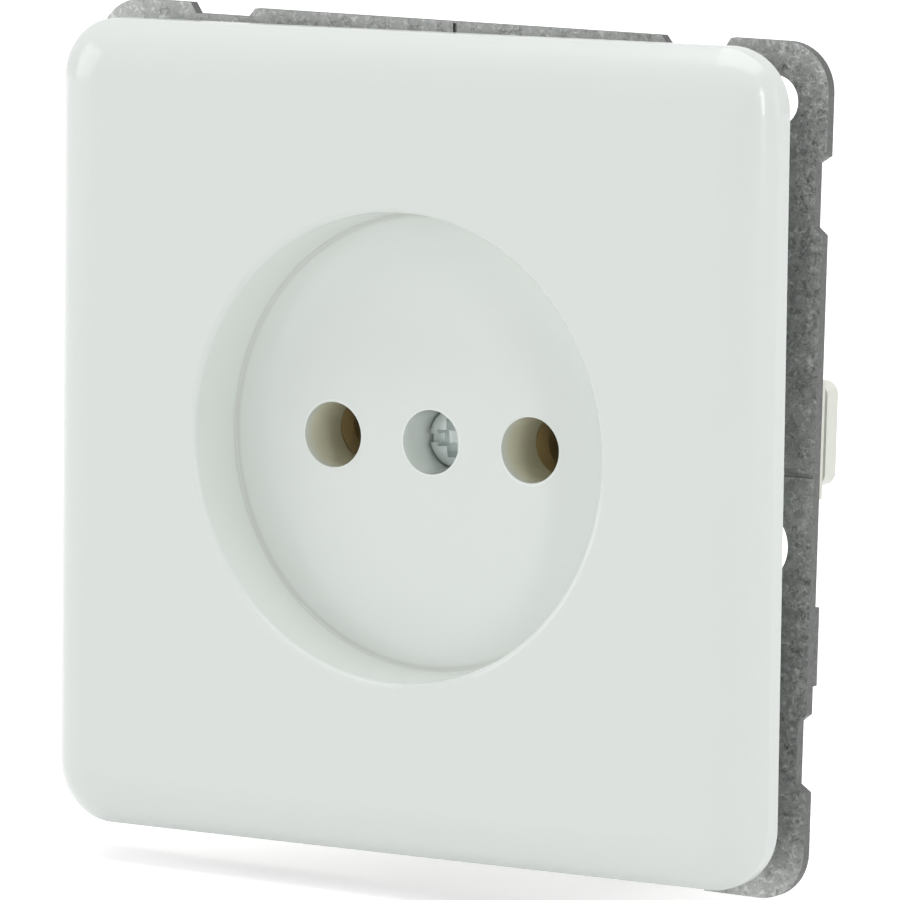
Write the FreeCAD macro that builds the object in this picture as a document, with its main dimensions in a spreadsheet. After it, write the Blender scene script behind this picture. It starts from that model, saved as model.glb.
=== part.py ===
import FreeCAD, Part

import math
import os
import re

import Sketcher

# Flush wall socket, two pins in a round recess, for a 60 mm wall box.
# Frame: X to the right and Z up as seen from the room, Y into the wall.
# The origin is the centre of the support frame's rear face, which lies on the wall.

doc = FreeCAD.newDocument("wall_socket")
sheet = doc.addObject("Spreadsheet::Sheet", "Sizes")

SIZES = (
    ("frame_size", 69.9, "support frame, side of the square"),
    ("frame_sheet", 1.0, "support frame, sheet thickness"),
    ("frame_corner", 4.0, "support frame, corner radius"),
    ("frame_relief", 0.17, "support frame, set-back of each side between its notches"),
    ("notch_inset", 12.25, "edge notch, its middle from the frame's corner"),
    ("notch_depth", 0.9, "depth of an edge notch"),
    ("notch_floor", 5.2, "width of an edge notch at its floor"),
    ("notch_mouth", 6.4, "width of an edge notch at its mouth"),
    ("corner_hole_inset", 4.85, "corner hole, its middle from the frame's edge"),
    ("corner_hole_radius", 2.1, "corner hole radius"),
    ("keyhole_inset", 4.95, "circle of the wall box's own screws, from the frame's edge"),
    ("keyhole_head", 3.2, "radius of a keyhole's wide end"),
    ("keyhole_shank", 1.9, "half the width of a keyhole's narrow part"),
    ("keyhole_start", 11.6, "angle from an axis to a keyhole's wide end, degrees"),
    ("keyhole_overrun", 5.0, "angle that a keyhole runs past its axis, degrees"),
    ("mark_long", 3.3, "centre mark, its inner end from the frame's edge"),
    ("mark_inset", 0.3, "centre mark, its outer end from the frame's edge"),
    ("mark_wide", 0.36, "centre mark, width"),
    ("opening_room", 0.4, "room round the base's boss in the frame's opening"),
    ("cover_inset", 0.8, "cover plate's edge inside the frame's edge"),
    ("cover_corner", 5.2, "cover plate, corner radius"),
    ("cover_depth", 4.08, "cover plate, front face to rear edge"),
    ("cover_gap", 4.04, "cover plate's rear edge to the support frame"),
    ("cover_skew", 0.96, "turn of the cover about its screw, degrees"),
    ("cover_face", 1.9, "cover plate, thickness of the face"),
    ("cover_skirt", 1.6, "cover plate, thickness of its edge wall"),
    ("roll_width", 4.5, "width of the face's rounded border"),
    ("roll_radius", 5.42, "radius of the face's rounded border"),
    ("cover_edge", 0.35, "rounding between the border and the edge wall"),
    ("rib_thick", 1.2, "rib behind the cover"),
    ("well_radius", 19.5, "recess radius at its rim"),
    ("well_taper", 0.45, "recess, radius lost from rim to floor"),
    ("well_depth", 6.0, "recess depth"),
    ("well_wall", 1.6, "recess wall thickness"),
    ("well_floor", 1.5, "recess floor thickness"),
    ("well_lip", 0.5, "rounding of the recess rim"),
    ("well_fillet", 0.2, "rounding between the recess wall and its floor"),
    ("pin_pitch", 19.0, "distance between the two plug pins"),
    ("pin_hole", 2.75, "pin hole radius"),
    ("pin_tube", 5.75, "length of a pin hole's tube, from the recess floor"),
    ("tube_wall", 0.9, "wall of the tubes behind the recess floor"),
    ("screw_well", 2.7, "radius of the shaft for the cover screw"),
    ("screw_head", 2.5, "cover screw, head radius"),
    ("screw_head_high", 1.7, "cover screw, head height"),
    ("screw_sunk", 3.7, "top of the cover screw's head below the recess floor"),
    ("screw_seat", 1.2, "floor under the cover screw's head"),
    ("screw_shank", 1.45, "cover screw, shank radius"),
    ("screw_length", 9.5, "cover screw, length under the head"),
    ("slip", 0.1, "radial room of a piece in its hole"),
    ("free_gap", 0.3, "room between pieces that pass each other"),
    ("tube_room", 0.35, "room round the cover's tubes in the base"),
    ("terminal_room", 6.95, "room beside a contact sleeve for the clamp, the wire and the leg"),
    ("flat_wall", 4.2, "base, wall above and below the chambers, out to the flats"),
    ("base_deep", 19.45, "base, depth behind the wall face"),
    ("boss_wall", 0.75, "base, wall of the front boss outside the tube holes"),
    ("wing_reach", 3.85, "base, how far a side wing stands out"),
    ("wing_margin", 0.9, "side wing, height beyond the tongue, on the side nearer the middle"),
    ("wing_crest", 0.1, "side wing, height beyond the tongue, on its other side"),
    ("wing_deep", 7.5, "depth of a side wing"),
    ("base_wall", 1.5, "base, outer wall thickness"),
    ("base_front", 2.6, "base, thickness of its front wall behind the wall face"),
    ("web_half", 5.4, "half the width of the web between the two chambers"),
    ("chamber_half", 8.1, "half the height of a contact chamber"),
    ("cap_thick", 4.0, "rear cap, thickness"),
    ("cap_inset", 0.6, "rear cap, its edge inside the base's"),
    ("cap_edge", 0.8, "rear cap, bevel of its rear edge"),
    ("lever_proud", 0.05, "release lever, how far it stands out of the wing"),
    ("lever_rise", 0.6, "release lever's tongue and its wing: up at the right, down at the left"),
    ("lever_inset", 6.0, "release lever, inner end from the base's outside"),
    ("lever_wall", 0.45, "release lever's edge to a wire entry"),
    ("lever_thick", 1.9, "release lever, thickness"),
    ("lever_corner", 1.2, "release lever, rounding of its outer corners"),
    ("lever_parting", 0.35, "gap between the base and a release lever"),
    ("lever_travel", 0.8, "release lever, travel when pressed"),
    ("prong_thick", 1.0, "release lever, prong thickness"),
    ("prong_deep", 3.6, "release lever, reach of the prong into the chamber"),
    ("wire_entry", 1.4, "wire entry radius"),
    ("wire_entry_inset", 5.0, "wire entry, its middle from the base's outside"),
    ("wire_entry_drop", 1.8, "wire entry, its middle from the chamber's upper or lower wall"),
    ("brass_sheet", 0.8, "thickness of the contacts' brass sheet"),
    ("sleeve_bore", 2.35, "contact sleeve, inner radius"),
    ("sleeve_wall", 0.7, "contact sleeve, wall"),
    ("sleeve_start", 2.85, "contact sleeve, front end"),
    ("terminal_deep", 5.6, "rear end of the contact sleeve to the rear of the base"),
    ("sleeve_slit", 1.2, "contact sleeve, width of its slits"),
    ("spring_sheet", 0.4, "thickness of the contact and clamp springs"),
    ("clip_length", 3.0, "contact spring, length along the sleeve"),
    ("clamp_width", 4.2, "clamp spring, width"),
    ("rivet_inset", 6.2, "frame rivet, its middle from the base's outside"),
    ("rivet_rise", 2.2, "frame rivet, its middle above or below the chamber"),
    ("rivet_shank", 1.4, "frame rivet, shank radius"),
    ("rivet_bore", 0.8, "frame rivet, bore radius"),
    ("rivet_head", 2.0, "frame rivet, head radius"),
    ("rivet_head_high", 0.4, "frame rivet, head height"),
    ("nut_side", 5.5, "square nut of the cover screw, side"),
    ("nut_thick", 2.4, "square nut of the cover screw, thickness"),
    ("nut_gap", 4.15, "square nut of the cover screw, distance behind the cover's shaft"),
    ("claw_clear", 0.2, "claw pin's end to the base's flat"),
    ("claw_width", 6.7, "claw, width"),
    ("claw_sheet", 1.2, "claw, sheet thickness"),
    ("claw_lean", 21.0, "claw at rest, lean away from the axis, degrees"),
    ("claw_arm", 19.7, "claw, pivot to the root of its toothed lip"),
    ("claw_lip", 1.6, "claw, width of its toothed lip"),
    ("claw_reach", 4.0, "claw pivot to the line of the claw screw"),
    ("claw_pivot_y", 2.8, "claw pivot, distance behind the wall face"),
    ("claw_eye", 2.1, "claw, outer radius of its rolled eye"),
    ("claw_pin", 1.0, "claw pin radius"),
    ("claw_pin_head", 0.4, "claw pin, thickness of each riveted end"),
    ("claw_slot_start", 2.9, "claw, pivot to the start of its slot"),
    ("claw_slot_end", 18.4, "claw, pivot to the end of its slot"),
    ("tooth_depth", 0.6, "claw tooth, depth"),
    ("ear_thick", 1.0, "ears of the support frame that hold a claw pin"),
    ("ear_half", 2.3, "ear, half its width"),
    ("claw_screw_room", 2.54, "claw screw's head to the wall of the recess"),
    ("claw_shank", 1.25, "claw screw, shank radius"),
    ("claw_head", 2.6, "claw screw, head radius"),
    ("claw_head_high", 1.8, "claw screw, head height"),
    ("claw_spare", 0.47, "claw screw, length behind its nut"),
    ("claw_nut", 1.9, "claw nut, radius"),
    ("claw_nut_long", 6.0, "claw nut, length"),
    ("thread_room", 0.05, "running room between a screw and its nut, or a pin and its eye"),
    ("drive_slot", 0.6, "width of a screw's slot"),
    ("drive_deep", 0.8, "depth of a screw's slot"),
)
TEETH = 5

for row, (alias, size, meaning) in enumerate(SIZES, start=1):
    sheet.set(f"A{row}", meaning)
    sheet.set(f"B{row}", str(size))
    sheet.setAlias(f"B{row}", alias)
doc.recompute()

# Sizes and places that follow from the driving ones. over_sheet writes them out wherever they are named.
FOLLOWING = {
    "cover_size": "frame_size - 2 * cover_inset",
    "corner_hole_pitch": "frame_size - 2 * corner_hole_inset",
    "notch_pitch": "frame_size - 2 * notch_inset",
    "box_screw_circle": "frame_size / 2 - keyhole_inset",
    "cover_back": "-(frame_sheet + cover_gap)",
    "cover_front": "cover_back - cover_depth",
    "border_drop": "roll_radius - sqrt(roll_radius * roll_radius - roll_width * roll_width)",
    "well_face": "cover_front + well_depth",
    "well_back": "well_face + well_floor",
    "tube_out": "pin_hole + tube_wall",
    "shaft_out": "screw_well + tube_wall",
    "pin_tube_end": "well_face + pin_tube",
    "screw_top": "well_face + screw_sunk",
    "screw_under": "screw_top + screw_head_high",
    "screw_tube_end": "screw_under + screw_seat",
    "pin_x": "pin_pitch / 2",
    "sleeve_out": "sleeve_bore + sleeve_wall",
    "sleeve_end": "base_deep - terminal_deep",
    "base_radius": "pin_x + sleeve_out + terminal_room + base_wall",
    "base_boss": "pin_x + tube_out + tube_room + boss_wall",
    "frame_opening": "base_boss + opening_room",
    "base_flat": "chamber_half + flat_wall",
    "base_wing": "base_radius + wing_reach",
    "cap_radius": "base_radius - cap_inset",
    "cap_back": "base_deep + cap_thick",
    "wire_entry_x": "base_radius - wire_entry_inset",
    "wire_entry_z": "chamber_half - wire_entry_drop",
    "clamp_tip": "wire_entry_x + wire_entry * 0.4",
    "lever_front": "base_deep + lever_parting",
    "lever_back": "lever_front + lever_thick",
    "lever_reach": "base_wing + lever_proud",
    "lever_root": "base_radius - lever_inset",
    "lever_half": "wire_entry_z - wire_entry - lever_wall",
    "rivet_x": "base_radius - rivet_inset",
    "rivet_z": "chamber_half + rivet_rise",
    "nut_deep": "screw_tube_end + nut_gap",
    "claw_z": "base_flat + claw_clear + claw_pin_head + ear_thick + free_gap + claw_width / 2",
    "claw_circle": "well_radius + well_wall + claw_head + claw_screw_room",
    "claw_screw_x": "sqrt(claw_circle * claw_circle - claw_z * claw_z)",
    "claw_pivot_x": "claw_screw_x - claw_reach",
    "claw_nut_run": "claw_reach * cos(claw_lean) + claw_sheet / 2 + claw_nut + free_gap",
    "claw_nut_y": "claw_pivot_y + claw_nut_run / sin(claw_lean)",
    "claw_screw_long": "frame_sheet + claw_nut_y + claw_nut + claw_spare",
}

FUNCTIONS = {"sin", "cos", "tan", "sqrt"}
ALONG_Y = FreeCAD.Rotation(FreeCAD.Vector(1, 0, 0), -90)
HALF_TURN = FreeCAD.Rotation(FreeCAD.Vector(0, 1, 0), 180)
parts = []


def over_sheet(expression):
    """The expression over the sheet's cells, with each following size written out."""

    def written_out(found):
        word = found[0]
        if word in FOLLOWING:
            return f"({over_sheet(FOLLOWING[word])})"
        return word if word in FUNCTIONS else f"Sizes.{word}"

    return re.sub(r"[a-z][a-z_]+", written_out, str(expression))


def value(expression):
    """The expression's number, with the sizes as the sheet has them."""
    return float(sheet.evalExpression(over_sheet(expression)))


def bind(thing, **expressions):
    for name, expression in expressions.items():
        thing.setExpression(name, over_sheet(expression))


def place(thing, x="0", y="0", z="0"):
    for axis, expression in zip("xyz", (x, y, z)):
        thing.setExpression(f"Placement.Base.{axis}", over_sheet(expression))


def add(kind, name):
    thing = doc.addObject(kind, name)
    thing.Label = name
    return thing


def finished(thing, label, turned=False):
    """Name a sub-part, turn it half way round the socket's axis where asked, and list it for export."""
    thing.Label = label
    if turned:
        thing.Placement = FreeCAD.Placement(FreeCAD.Vector(), HALF_TURN).multiply(thing.Placement)
    parts.append(thing)
    return thing


# Sketches, each point pinned to the sheet.


def pin_point(sketch, shape, end, across, up):
    for kind, letter, expression in (("DistanceX", "across", across), ("DistanceY", "up", up)):
        index = sketch.addConstraint(Sketcher.Constraint(kind, -1, 1, shape, end, value(expression)))
        name = f"{letter}_{index}"
        sketch.renameConstraint(index, name)
        sketch.setExpression(f"Constraints.{name}", over_sheet(expression))


def pin_radius(sketch, shape, radius):
    index = sketch.addConstraint(Sketcher.Constraint("Radius", shape, value(radius)))
    name = f"radius_{index}"
    sketch.renameConstraint(index, name)
    sketch.setExpression(f"Constraints.{name}", over_sheet(radius))


def draw_runs(sketch, points, closed=True):
    """Straight runs from point to point. A point is (across, up)."""
    spots = [FreeCAD.Vector(value(across), value(up), 0) for across, up in points]
    pairs = list(zip(spots, spots[1:] + spots[:1]))
    if not closed:
        pairs = pairs[:-1]
    first = sketch.GeometryCount
    for low, high in pairs:
        sketch.addGeometry(Part.LineSegment(low, high), False)
    last = sketch.GeometryCount - 1
    for shape in range(first, last):
        sketch.addConstraint(Sketcher.Constraint("Coincident", shape, 2, shape + 1, 1))
    if closed:
        sketch.addConstraint(Sketcher.Constraint("Coincident", last, 2, first, 1))
    for step, (across, up) in enumerate(points):
        if first + step <= last:
            pin_point(sketch, first + step, 1, across, up)
        else:
            pin_point(sketch, last, 2, across, up)


def draw_circle(sketch, radius, across="0", up="0"):
    centre = FreeCAD.Vector(value(across), value(up), 0)
    shape = sketch.addGeometry(Part.Circle(centre, FreeCAD.Vector(0, 0, 1), value(radius)), False)
    pin_radius(sketch, shape, radius)
    pin_point(sketch, shape, 3, across, up)


def rectangle(low_across, high_across, low_up, high_up):
    return [(low_across, low_up), (high_across, low_up), (high_across, high_up), (low_across, high_up)]


def square(half):
    return rectangle(f"-({half})", half, f"-({half})", half)


# Bodies made by sketch and feature. A sketch across the socket's axis lies on XZ, whose normal is -Y.


def start_body(name):
    return doc.addObject("PartDesign::Body", name)


def sketch_on(body, name, plane="XZ_Plane", level="0"):
    sketch = body.newObject("Sketcher::SketchObject", name)
    origin_plane = next(piece for piece in body.Origin.OriginFeatures if piece.Role == plane)
    sketch.AttachmentSupport = [(origin_plane, "")]
    sketch.MapMode = "FlatFace"
    away = f"-({level})" if plane == "XZ_Plane" else level
    sketch.setExpression("AttachmentOffset.Base.z", over_sheet(away))
    return sketch


def grow(body, name, sketch, length, inward=True):
    """Pad the sketch, into the wall or out towards the room."""
    pad = body.newObject("PartDesign::Pad", name)
    pad.Profile = sketch
    pad.Reversed = inward
    bind(pad, Length=length)
    doc.recompute()
    return pad


def sink(body, name, sketch, length, inward=True):
    """Pocket the sketch, into the wall or out towards the room."""
    before = body.Shape.Volume
    pocket = body.newObject("PartDesign::Pocket", name)
    pocket.Profile = sketch
    pocket.Reversed = not inward
    bind(pocket, Length=length)
    doc.recompute()
    if body.Shape.Volume >= before:
        raise RuntimeError(f"{name} cuts nothing")
    return pocket


def turn(body, name, sketch, cutting=False):
    """Turn the sketch about its vertical axis, which is the socket's."""
    kind = "PartDesign::Groove" if cutting else "PartDesign::Revolution"
    feature = body.newObject(kind, name)
    feature.Profile = sketch
    feature.ReferenceAxis = (sketch, ["V_Axis"])
    feature.Angle = 360
    doc.recompute()
    return feature


def around(body, name, features, count):
    """Repeat features about the socket's axis."""
    pattern = body.newObject("PartDesign::PolarPattern", name)
    pattern.Originals = features
    pattern.Axis = (features[0].Profile[0], ["N_Axis"])
    pattern.Angle = 360
    pattern.Occurrences = count
    body.Tip = pattern
    doc.recompute()
    return pattern


def soften(body, name, radius, wanted, kind="Fillet"):
    """Round or bevel the edges that the test picks."""
    base = body.Tip
    names = [f"Edge{number}" for number, edge in enumerate(base.Shape.Edges, 1) if wanted(edge)]
    if not names:
        raise RuntimeError(f"{name} finds no edge")
    feature = body.newObject(f"PartDesign::{kind}", name)
    feature.Base = (base, names)
    bind(feature, **{"Radius" if kind == "Fillet" else "Size": radius})
    doc.recompute()
    return feature


def runs_along_y(edge):
    low, high = edge.Vertexes[0].Point, edge.Vertexes[-1].Point
    return abs(low.x - high.x) < 0.01 and abs(low.z - high.z) < 0.01 and abs(low.y - high.y) > 0.1


def lies_at(edge, level):
    return all(abs(vertex.Y - value(level)) < 0.005 for vertex in edge.Vertexes)


# Pieces made of simple solids.


def rod(name, radius, start, end, x="0", z="0"):
    """A round bar along Y."""
    bar = add("Part::Cylinder", name)
    bar.Placement = FreeCAD.Placement(FreeCAD.Vector(), ALONG_Y)
    bind(bar, Radius=radius, Height=f"({end}) - ({start})")
    place(bar, x, start, z)
    return bar


def upright(name, radius, x, y, z_low, z_high):
    """A round bar along Z."""
    bar = add("Part::Cylinder", name)
    bind(bar, Radius=radius, Height=f"({z_high}) - ({z_low})")
    place(bar, x, y, z_low)
    return bar


def block(name, x_low, x_high, y_low, y_high, z_low, z_high):
    box = add("Part::Box", name)
    bind(
        box,
        Length=f"({x_high}) - ({x_low})",
        Width=f"({y_high}) - ({y_low})",
        Height=f"({z_high}) - ({z_low})",
    )
    place(box, x_low, y_low, z_low)
    return box


def joined(name, *pieces):
    fusion = add("Part::MultiFuse", name)
    fusion.Shapes = list(pieces)
    fusion.Refine = True
    return fusion


def cut(name, base, *tools):
    tool = tools[0] if len(tools) == 1 else joined(name + "_tools", *tools)
    result = add("Part::Cut", name)
    result.Base = base
    result.Tool = tool
    result.Refine = True
    return result


def shared(name, first, second):
    result = add("Part::Common", name)
    result.Base = first
    result.Tool = second
    result.Refine = True
    return result


def strip(name, points, thickness, z_low, z_high):
    """A bent strip of sheet: its middle line runs through the points in X and Y, its width along Z."""
    line = add("Sketcher::SketchObject", name + "_line")
    line.setExpression("Placement.Base.z", over_sheet(z_low))
    draw_runs(line, points, closed=False)
    outline = add("Part::Offset2D", name + "_outline")
    outline.Source = line
    outline.Mode = "Skin"
    outline.Join = "Arc"
    outline.Fill = True
    bind(outline, Value=f"({thickness}) / 2")
    sheet_piece = add("Part::Extrusion", name)
    sheet_piece.Base = outline
    sheet_piece.DirMode = "Custom"
    sheet_piece.Dir = FreeCAD.Vector(0, 0, 1)
    sheet_piece.Solid = True
    bind(sheet_piece, LengthFwd=f"({z_high}) - ({z_low})")
    return sheet_piece


# The sub-parts.


def make_cover_plate():
    body = start_body("cover_plate")
    half = "cover_size / 2"

    outline = sketch_on(body, "cover_outline", level="cover_back")
    draw_runs(outline, square(half))
    grow(body, "cover_block", outline, "cover_depth", inward=False)
    soften(body, "cover_corners", "cover_corner", runs_along_y)

    border = sketch_on(body, "cover_border", plane="XY_Plane")
    draw_border(border, half)
    path = sketch_on(body, "cover_border_path", level="cover_front")
    draw_rounded_square(path, half, "cover_corner")
    roll = body.newObject("PartDesign::SubtractivePipe", "cover_roll")
    roll.Profile = border
    roll.Spine = (path, [])
    roll.Transition = "Round corner"
    doc.recompute()

    side = value("cover_front + border_drop")
    soften(body, "cover_rounding", "cover_edge", lambda edge: lies_level(edge, side))

    inner = sketch_on(body, "cover_skirt_hollow", level="cover_back")
    draw_runs(inner, square(f"{half} - cover_skirt"))
    sink(body, "cover_hollow", inner, "cover_depth - border_drop - cover_face / 1.5", inward=False)
    deep = sketch_on(body, "cover_face_hollow", level="cover_back")
    draw_runs(deep, square(f"{half} - roll_width"))
    sink(body, "cover_deep_hollow", deep, "cover_depth - cover_face", inward=False)

    well = sketch_on(body, "well_tube_ring", level="well_back")
    draw_circle(well, "well_radius + well_wall")
    grow(body, "well_tube", well, "well_back - (cover_front) - cover_face / 2", inward=False)

    rib = sketch_on(body, "rib_outline", level="cover_back - cover_depth + cover_face / 2")
    rib_end = f"{half} - roll_width + rib_thick / 2"
    draw_runs(rib, rectangle("well_radius", rib_end, "-rib_thick / 2", "rib_thick / 2"))
    rib_pad = grow(body, "rib", rib, "cover_depth - cover_face / 2 - 0.4")
    around(body, "ribs", [rib_pad], 4)

    recess = sketch_on(body, "well_section", plane="XY_Plane")
    floor_radius = "well_radius - well_taper"
    draw_runs(
        recess,
        [
            ("0", "cover_front - 1"),
            ("well_radius", "cover_front - 1"),
            ("well_radius", "cover_front"),
            (floor_radius, "well_face"),
            ("0", "well_face"),
        ],
    )
    turn(body, "well", recess, cutting=True)
    for name, size, level in (("rim", "well_lip", "cover_front"), ("floor", "well_fillet", "well_face")):
        soften(body, f"well_{name}_rounding", size, lambda edge: is_ring(edge, level))

    tubes = sketch_on(body, "tube_rings", level="well_back - 0.4")
    draw_circle(tubes, "tube_out", "pin_x")
    draw_circle(tubes, "tube_out", "-pin_x")
    grow(body, "pin_tubes", tubes, "pin_tube_end - (well_back) + 0.4")
    shaft = sketch_on(body, "shaft_ring", level="well_back - 0.4")
    draw_circle(shaft, "shaft_out")
    grow(body, "screw_tube", shaft, "screw_tube_end - (well_back) + 0.4")

    pins = sketch_on(body, "pin_circles", level="well_face")
    draw_circle(pins, "pin_hole", "pin_x")
    draw_circle(pins, "pin_hole", "-pin_x")
    sink(body, "pin_holes", pins, "pin_tube")
    well_hole = sketch_on(body, "screw_well_circle", level="well_face")
    draw_circle(well_hole, "screw_well")
    sink(body, "screw_shaft", well_hole, "screw_sunk + screw_head_high")
    pass_hole = sketch_on(body, "screw_pass_circle", level="screw_under")
    draw_circle(pass_hole, "screw_shank + slip")
    sink(body, "screw_pass", pass_hole, "screw_seat")

    body.Placement = FreeCAD.Placement(FreeCAD.Vector(), FreeCAD.Rotation(FreeCAD.Vector(0, -1, 0), 1))
    bind(body, **{"Placement.Rotation.Angle": "cover_skew"})
    finished(body, "cover_plate")


def is_ring(edge, level):
    """Whether the edge is a whole circle at the level."""
    return len(edge.Vertexes) == 1 and lies_at(edge, level)


def lies_level(edge, depth):
    """Whether both ends of the edge lie at the depth."""
    return all(abs(corner.Y - depth) < 0.01 for corner in edge.Vertexes)


def draw_border(sketch, half):
    """What the rounded border takes off the face: the corner outside an arc."""
    start = f"{half} - roll_width"
    edge_y = "cover_front + border_drop"
    spots = [
        (start, "cover_front"),
        (start, "cover_front - 1"),
        (f"{half} + 1", "cover_front - 1"),
        (f"{half} + 1", edge_y),
        (half, edge_y),
    ]
    draw_runs(sketch, spots, closed=False)
    centre = FreeCAD.Vector(value(start), value("cover_front + roll_radius"), 0)
    circle = Part.Circle(centre, FreeCAD.Vector(0, 0, 1), value("roll_radius"))
    fall = math.asin(value("roll_width / roll_radius"))
    arc = sketch.addGeometry(Part.ArcOfCircle(circle, -math.pi / 2, -math.pi / 2 + fall), False)
    sketch.addConstraint(Sketcher.Constraint("Coincident", arc, 1, 0, 1))
    sketch.addConstraint(Sketcher.Constraint("Coincident", arc, 2, arc - 1, 2))
    pin_radius(sketch, arc, "roll_radius")


def draw_rounded_square(sketch, half, corner):
    """A square of four straight runs and four tangent arcs."""
    side, bend = value(half), value(corner)
    straight = side - bend
    turns = ((1, -1, 1, 1), (1, 1, -1, 1), (-1, 1, -1, -1), (-1, -1, 1, -1))
    for quarter, (x, z, to_x, to_z) in enumerate(turns):
        if quarter % 2 == 0:
            low = FreeCAD.Vector(x * side, z * straight, 0)
            high = FreeCAD.Vector(x * side, -z * straight, 0)
        else:
            low = FreeCAD.Vector(x * straight, z * side, 0)
            high = FreeCAD.Vector(-x * straight, z * side, 0)
        sketch.addGeometry(Part.LineSegment(low, high), False)
        centre = FreeCAD.Vector(to_x * straight, to_z * straight, 0)
        circle = Part.Circle(centre, FreeCAD.Vector(0, 0, 1), bend)
        begin = quarter * math.pi / 2
        sketch.addGeometry(Part.ArcOfCircle(circle, begin, begin + math.pi / 2), False)
    for quarter in range(4):
        line, arc, onward = 2 * quarter, 2 * quarter + 1, (2 * quarter + 2) % 8
        sketch.addConstraint(Sketcher.Constraint("Tangent", line, 2, arc, 1))
        sketch.addConstraint(Sketcher.Constraint("Tangent", arc, 2, onward, 1))
        pin_radius(sketch, arc, corner)
    pin_point(sketch, 0, 1, half, f"-({half} - {corner})")
    pin_point(sketch, 4, 1, f"-({half})", f"{half} - {corner}")
    sketch.addConstraint(Sketcher.Constraint("Vertical", 0))
    sketch.addConstraint(Sketcher.Constraint("Horizontal", 2))


def make_support_frame():
    body = start_body("frame_sheet_body")
    half = "frame_size / 2"
    outline = sketch_on(body, "frame_outline")
    draw_runs(outline, square(half))
    grow(body, "frame_blank", outline, "frame_sheet", inward=False)
    soften(body, "frame_corners", "frame_corner", runs_along_y)

    notch = sketch_on(body, "notch_outline", level="-frame_sheet")
    middle = "notch_pitch / 2"
    floor = f"{half} - notch_depth"
    relief = f"{half} - frame_relief"
    upper = [
        (f"{half} + 1", f"{middle} + notch_mouth / 2"),
        (half, f"{middle} + notch_mouth / 2"),
        (floor, f"{middle} + notch_floor / 2"),
        (floor, f"{middle} - notch_floor / 2"),
        (relief, f"{middle} - notch_mouth / 2"),
    ]
    lower = [(across, f"-({up})") for across, up in reversed(upper)]
    draw_runs(notch, upper + lower)
    side = sink(body, "side_notches", notch, "frame_sheet")
    around(body, "all_notches", [side], 4)

    hole = sketch_on(body, "corner_hole_circle", level="-frame_sheet")
    draw_circle(hole, "corner_hole_radius", "corner_hole_pitch / 2", "corner_hole_pitch / 2")
    corner = sink(body, "corner_hole", hole, "frame_sheet")
    around(body, "corner_holes", [corner], 4)

    mark = sketch_on(body, "mark_outline", level="-frame_sheet")
    inner, outer = f"{half} - mark_long", f"{half} - mark_inset"
    draw_runs(mark, rectangle(inner, outer, "-mark_wide / 2", "mark_wide / 2"))
    groove = sink(body, "centre_mark", mark, "frame_sheet * 0.25")
    around(body, "centre_marks", [groove], 4)

    cutters = [rod("frame_bore", "frame_opening", "-frame_sheet - 1", "1")]
    for quarter in range(4):
        cutters.append(keyhole(quarter))
    for sign in ("", "-"):
        down = "-" if not sign else ""
        cutters.append(
            rod(
                f"claw_screw_hole{sign}",
                "claw_shank + slip",
                "-2",
                "1",
                f"{sign}claw_screw_x",
                f"{down}claw_z",
            )
        )
        cutters.append(
            rod(f"rivet_hole{sign}", "rivet_shank + slip", "-2", "1", f"{sign}rivet_x", f"{sign}rivet_z")
        )
    plate = cut("frame_plate", body, *cutters)

    ears = []
    for turned in (False, True):
        for side_of_claw in (-1, 1):
            ears.append(ear(side_of_claw, turned))
    finished(joined("support_frame", plate, *ears), "support_frame")


def keyhole(quarter):
    """A bayonet keyhole on the box's screw circle: wide end, then a narrow arc past the axis."""
    name = f"keyhole_{quarter}"
    outer = rod(name + "_outer", "box_screw_circle + keyhole_shank", "-frame_sheet - 1", "1")
    bind(outer, Angle="keyhole_start + keyhole_overrun")
    inner = rod(name + "_inner", "box_screw_circle - keyhole_shank", "-frame_sheet - 2", "2")
    arc = cut(name + "_arc", outer, inner)
    wide = rod(
        name + "_wide",
        "keyhole_head",
        "-frame_sheet - 1",
        "1",
        "box_screw_circle * cos(keyhole_start + keyhole_overrun)",
        "-box_screw_circle * sin(keyhole_start + keyhole_overrun)",
    )
    blunt = rod(name + "_blunt", "keyhole_shank", "-frame_sheet - 1", "1", "box_screw_circle")
    whole = joined(name, arc, wide, blunt)
    whole.Placement = FreeCAD.Placement(FreeCAD.Vector(), FreeCAD.Rotation(FreeCAD.Vector(0, -1, 0), 1))
    bind(whole, **{"Placement.Rotation.Angle": f"keyhole_overrun + {90 * quarter}"})
    return whole


def ear(side_of_claw, turned):
    """A lug folded back from the frame beside a claw, with the pin's hole."""
    name = f"ear_{'lower' if side_of_claw < 0 else 'upper'}_{'left' if turned else 'right'}"
    inner = "claw_width / 2 + free_gap"
    low = f"-claw_z + {inner}" if side_of_claw > 0 else f"-claw_z - ({inner}) - ear_thick"
    high = f"({low}) + ear_thick"
    tongue = block(
        name + "_tongue",
        "claw_pivot_x - ear_half",
        "claw_pivot_x + ear_half",
        "-frame_sheet / 2",
        "claw_pivot_y",
        low,
        high,
    )
    rounded = upright(name + "_round", "ear_half", "claw_pivot_x", "claw_pivot_y", low, high)
    past_low, past_high = f"({low}) - 1", f"({high}) + 1"
    hole = upright(name + "_hole", "claw_pin", "claw_pivot_x", "claw_pivot_y", past_low, past_high)
    lug = cut(name, joined(name + "_blank", tongue, rounded), hole)
    if turned:
        lug.Placement = FreeCAD.Placement(FreeCAD.Vector(), HALF_TURN)
    return lug


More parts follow.
